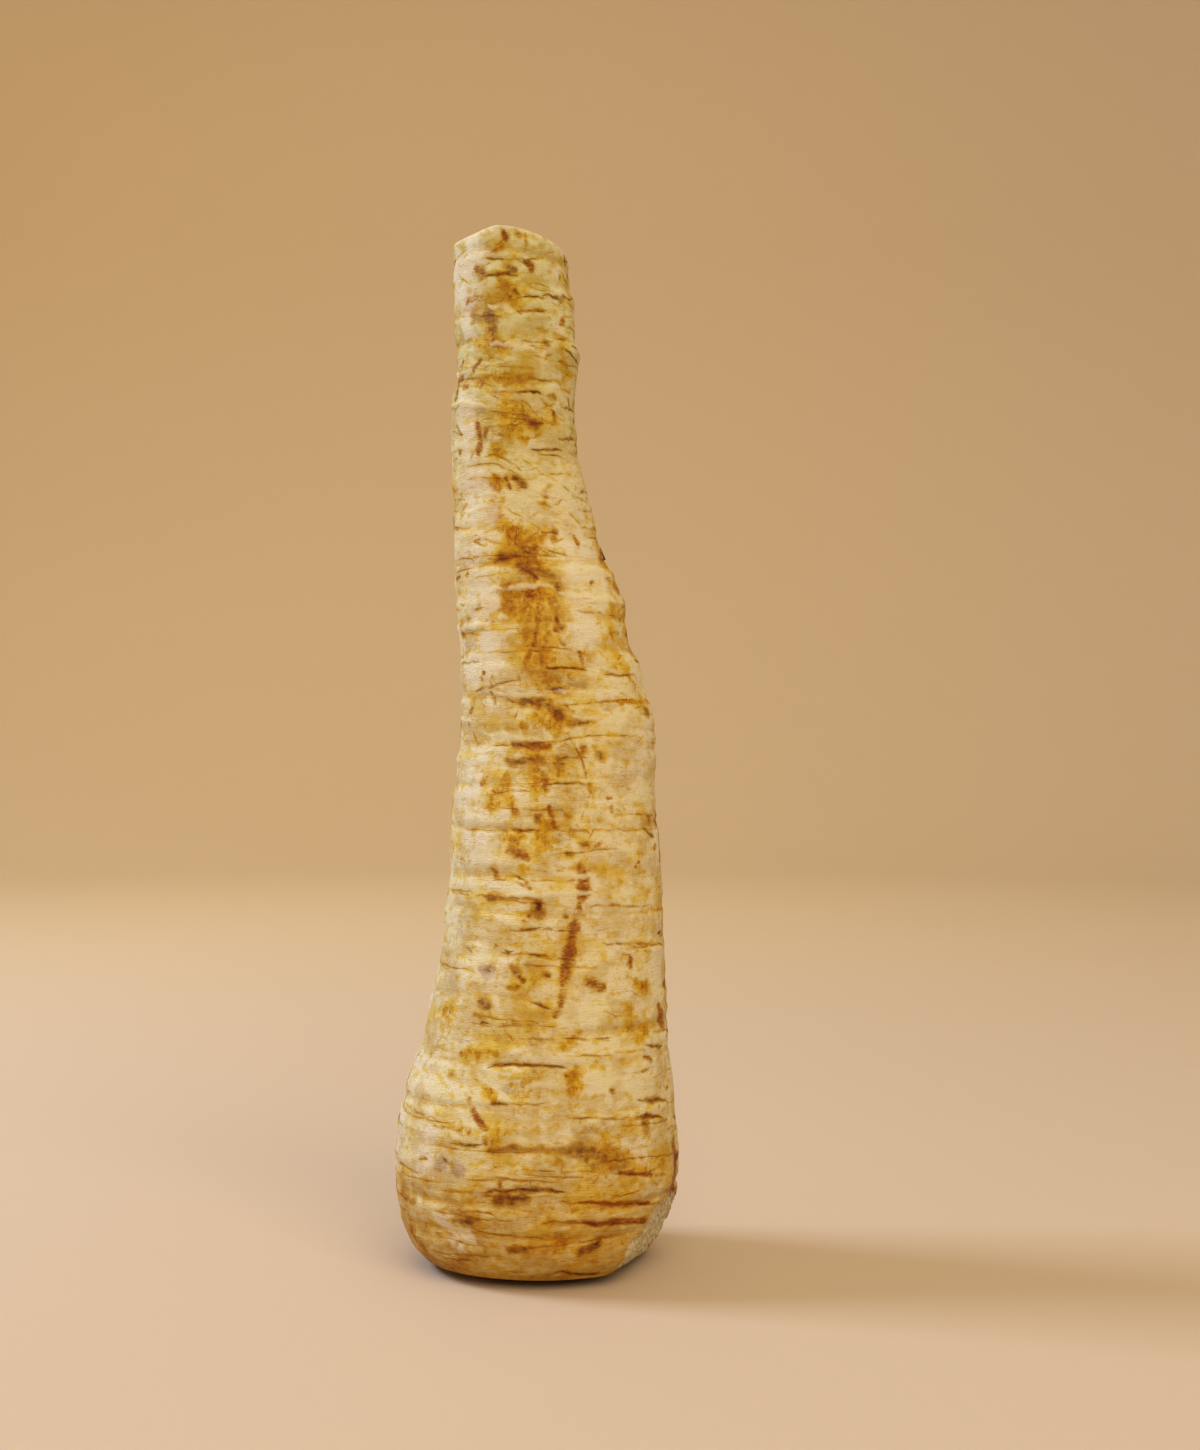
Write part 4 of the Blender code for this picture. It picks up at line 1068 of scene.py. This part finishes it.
def skin_material():
    """Cream skin, stained ochre in patches, with brown marks, fine lines and grey smudges over it."""
    skin = Painter("root_skin", STRAW, 0.66)
    skin.shader.inputs["Specular IOR Level"].default_value = 0.25

    # The skin's own colour
    skin.lay(CREAM, skin.ragged(0.5, 9, 1.0, 0.34, 0.66, flatness=1.3, raggedness=2.6))
    skin.lay(DUST_AND_HIGHLIGHT, skin.ragged(0.0, 6, 3.0, 0.02, 0.28, raggedness=2.6), 0.7)
    skin.stain(OLIVE, skin.ragged("tail", 6, 28.0, 0.1, 1.2, breaking=3.0))

    # Stains in it
    # The wash is stronger in the wide hollows: stain, and painted shade in them.
    wash = skin.maths("MULTIPLY", skin.attribute("wide_hollow"), 0.08)
    # Towards the crown the wash grows: stain, and painted shade of the bulb's lower part.
    wash = skin.maths("MULTIPLY_ADD", skin.attribute("crown"), 0.15, wash)
    wash = skin.maths("MULTIPLY_ADD", skin.attribute("ochre"), 0.62, wash)
    spots = skin.maths("MULTIPLY", wash, 0.5)
    skin.stain(AMBER, skin.ragged(wash, 9, 4.0, -0.05, 0.52, flatness=1.2, raggedness=3.2))
    skin.stain(AMBER, skin.ragged(wash, 2.2, 5.0, 0.08, 0.42, flatness=1.4, raggedness=3.0))
    freckles = skin.ragged(wash, 1.3, 6.0, 0.28, 0.70, flatness=0.7, raggedness=2.6, breaking=2.0)
    skin.stain(OCHRE, freckles, 0.9)
    skin.stain(RUST, skin.ragged(spots, 1.0, 7.0, 0.32, 0.66, raggedness=2.4, breaking=3.0), 0.7)
    # Tan and amber towards the crown: stain, and painted shade of the bulb's lower part.
    skin.stain(TAN, skin.ragged("crown", 3.5, 31.0, 0.1, 1.1, flatness=2.0, breaking=3.0))
    skin.stain(AMBER, skin.ragged("crown", 3.0, 33.0, 0.10, 1.30, flatness=2.0, breaking=2.5), 0.8)
    skin.stain(SMOKE, skin.ragged("grey", 2.6, 8.0, 0.10, 1.0, flatness=1.6, breaking=3.0))
    # Pale places: pale skin, and painted highlight down the lit left side.
    skin.lay(DUST_AND_HIGHLIGHT, skin.ragged("pale_and_highlight", 3, 2.0, 0.20, 1.0, raggedness=0.8, breaking=5.0), 0.7)

    # Fibres and wrinkles
    patches = skin.maths("MULTIPLY", skin.attribute("crown"), 0.4)
    patches = skin.ragged(patches, 7, 9.0, -0.10, 0.25, raggedness=2.4)
    skin.stain(HAZEL, skin.maths("MULTIPLY", skin.hair_lines(9, 9.0, 10.0, 0.018), patches), 0.7)
    skin.stain(OCHRE, skin.hair_lines(5, 7.0, 11.0, 0.030), 0.4)
    # Darker ochre in the hollows of the relief: stain, and painted shade in the creases.
    skin.stain(OCHRE, skin.ragged("hollow", 2.4, 12.0, 0.15, 1.1, flatness=5.0, breaking=4.0), 0.5)
    skin.stain(UMBER, skin.ragged(0.0, 0.8, 13.0, 0.18, 0.32, raggedness=1.25), 0.5)

    # Marks
    crack_core = skin.ragged(skin.thin("crack"), 1.6, 22.0, 0.20, 1.10, breaking=6.0)
    skin.stain(AMBER, skin.ragged("brown", 2.4, 14.0, 0.02, 0.35, breaking=4.0), 0.9)
    skin.stain(HAZEL, skin.ragged("brown", 1.4, 32.0, 0.12, 0.85, breaking=4.0), 0.9)
    skin.stain(UMBER, skin.ragged("brown", 1.4, 15.0, 0.50, 1.25, flatness=1.6, breaking=3.5), 0.8)
    skin.stain(OCHRE, skin.ragged("scar", 1.4, 16.0, 0.08, 0.60, flatness=2.0, breaking=3.0), 0.9)
    skin.stain(RUST, skin.ragged("scar", 1.2, 17.0, 0.25, 0.95, flatness=2.5, breaking=5.0), 0.9)
    skin.stain(UMBER, skin.ragged("scar", 1.4, 18.0, 0.75, 1.5, flatness=3.0, breaking=6.0), 0.6)
    skin.stain(AMBER, skin.ragged("line", 2.5, 19.0, 0.12, 0.8, breaking=4.0), 0.8)
    skin.stain(HAZEL, skin.ragged(skin.thin("line", 1.5), 2.6, 20.0, 0.05, 1.0, breaking=6.0), 0.9)
    skin.stain(UMBER, skin.ragged(skin.thin("line"), 3.0, 30.0, 0.60, 1.6, breaking=8.0), 0.6)
    skin.stain(OCHRE, skin.ragged("crack", 1.6, 21.0, 0.12, 0.7, breaking=3.0), 0.7)
    skin.stain(HAZEL, skin.ragged(skin.thin("crack", 1.9), 1.5, 29.0, 0.08, 0.8, breaking=3.0), 0.8)
    skin.stain(SOOT_AND_SHADE, crack_core, 0.8)
    # The raised ridges are laid cream: painted highlight where the light catches them.
    skin.lay(CREAM, skin.ragged("ridge", 1.8, 23.0, 0.2, 0.95, breaking=3.0), 0.7)

    # Where the knife has been
    skin.lay(CHAFF, skin.ragged("trimmed", 1.6, 24.0, 0.30, 0.70, raggedness=0.8, breaking=7.0), 0.9)
    skin.lay(PITH, skin.ragged("trimmed", 0.9, 25.0, 0.60, 1.10, raggedness=0.8, breaking=9.0), 0.9)
    skin.stain(HAZEL, skin.ragged("trimmed", 0.8, 36.0, 1.0, 1.6, breaking=10.0), 0.7)
    skin.lay(FLESH, skin.ragged("rim", 1.5, 26.0, 0.35, 0.75, breaking=4.0), 0.8)
    fibres = skin.ragged(0.0, 0.9, 27.0, -0.3, 0.3, flatness=4.0, raggedness=1.6)
    skin.bump(skin.maths("MULTIPLY_ADD", crack_core, -1.5, fibres), 0.07)
    return skin.finish()


def flesh_material():
    """Cut flesh: fibrous and cream, browner in a ring inside the rim, drier and browner by the tail's rim,
    and darkened by the foot's rim and all over the foot as painted shade.
    """
    flesh = Painter("cut_flesh", FLESH, 0.7)
    from_rim = flesh.attribute("from_rim")
    edge = flesh.maths("MULTIPLY_ADD", from_rim, -0.45, 0.95)
    from_ring = flesh.maths("ABSOLUTE", flesh.maths("SUBTRACT", from_rim, 4.0))
    ring = flesh.maths("MULTIPLY_ADD", from_ring, -0.8, 0.9)
    flesh.lay(DRY_FLESH_AND_SHADE, flesh.ragged(0.0, 1.1, 31.0, -0.02, 0.3, raggedness=1.5), 0.5)
    # Browner by the rim: a dried edge on the tail's cut, and painted shade at the foot's rim where it
    # stands in shadow.
    flesh.lay(DRY_FLESH_AND_SHADE, flesh.ragged(edge, 1.5, 32.0, 0.2, 0.6, raggedness=0.8), 0.7)
    # Painted shade: the foot's whole cut is darkened, since it sits in shadow on the floor.
    flesh.stain(SOOT_AND_SHADE, flesh.ragged("crown", 2.0, 35.0, 0.90, 0.97, raggedness=0.05))
    flesh.stain(AMBER, flesh.ragged(ring, 2.0, 33.0, 0.2, 0.9, raggedness=0.8), 0.8)
    flesh.bump(flesh.ragged(0.0, 0.8, 34.0, -0.3, 0.3, raggedness=1.0), 0.15)
    return flesh.finish()


def stub_material():
    """Dry rootlets: nearly black, with a little brown."""
    stub = Painter("dry_rootlet", DARK, 0.8, grown=False)
    stub.lay(BROWN, stub.ragged(0.0, 0.6, 41.0, 0.0, 0.3, raggedness=1.5), 0.6)
    return stub.finish()


# Stage, lights and camera

def build_stage():
    """A round sweep: a level floor that curves up into a wall all round."""
    bpy.ops.object.select_all(action="DESELECT")
    bpy.ops.mesh.primitive_circle_add(vertices=FLOOR_SIDES, radius=FLOOR_RADIUS, fill_type="NGON")
    sweep = bpy.context.object
    sweep.name = "sweep"
    bpy.ops.object.mode_set(mode="EDIT")
    radius, height = FLOOR_RADIUS, 0.0
    for i in range(1, BEND_STEPS + 2):
        angle = math.pi / 2 * min(i, BEND_STEPS) / BEND_STEPS
        next_radius = FLOOR_RADIUS + BEND_RADIUS * math.sin(angle)
        next_height = BEND_RADIUS * (1 - math.cos(angle)) + (WALL_HEIGHT if i > BEND_STEPS else 0)
        select(sweep, "EDGE", lambda e: e.is_boundary)
        bpy.ops.mesh.extrude_edges_move(TRANSFORM_OT_translate={"value": (0, 0, next_height - height)})
        growth = next_radius / radius
        bpy.ops.transform.resize(value=(growth, growth, 1), center_override=(0, 0, 0))
        radius, height = next_radius, next_height
    bpy.ops.mesh.select_all(action="SELECT")
    bpy.ops.mesh.normals_make_consistent(inside=True)
    bpy.ops.object.mode_set(mode="OBJECT")
    sweep.data.shade_smooth()
    paper = bpy.data.materials.new("sweep_paper")
    paper.use_nodes = True
    shader = paper.node_tree.nodes["Principled BSDF"]
    shader.inputs["Base Color"].default_value = (*PAPER, 1.0)
    shader.inputs["Roughness"].default_value = 0.85
    sweep.data.materials.append(paper)


def add_area_light(name, place, aim, size, power, colour):
    light = bpy.data.lights.new(name, "AREA")
    light.shape = "SQUARE"
    light.size = size
    light.energy = power
    light.color = colour
    lamp = bpy.data.objects.new(name, light)
    bpy.context.scene.collection.objects.link(lamp)
    lamp.location = place
    lamp.rotation_euler = (aim - lamp.location).to_track_quat("-Z", "Y").to_euler()
    lamp.visible_camera = False


def build_lights():
    for lamp in LAMPS:
        add_area_light(*lamp)
    world = bpy.data.worlds.new("studio")
    world.use_nodes = True
    background = world.node_tree.nodes["Background"]
    background.inputs["Color"].default_value = (*SKY, 1.0)
    background.inputs["Strength"].default_value = SKY_STRENGTH
    bpy.context.scene.world = world
    bpy.context.scene.view_settings.view_transform = "Standard"


def build_camera():
    data = bpy.data.cameras.new("camera")
    data.lens = LENS
    data.sensor_width = SENSOR
    data.clip_start = 0.01
    camera = bpy.data.objects.new("camera", data)
    camera.location = CAMERA_PLACE
    camera.rotation_euler = (math.pi / 2, 0, 0)
    bpy.context.scene.collection.objects.link(camera)
    bpy.context.scene.camera = camera


build_camera()
build_stage()
build_lights()
ragged_mask_group()
hair_lines_group()
root_skin = Skin(solid_surface())
body = build_body(root_skin)
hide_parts("root")
stubs = build_stubs(root_skin)
for piece in (body, stubs):
    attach(piece, "root")
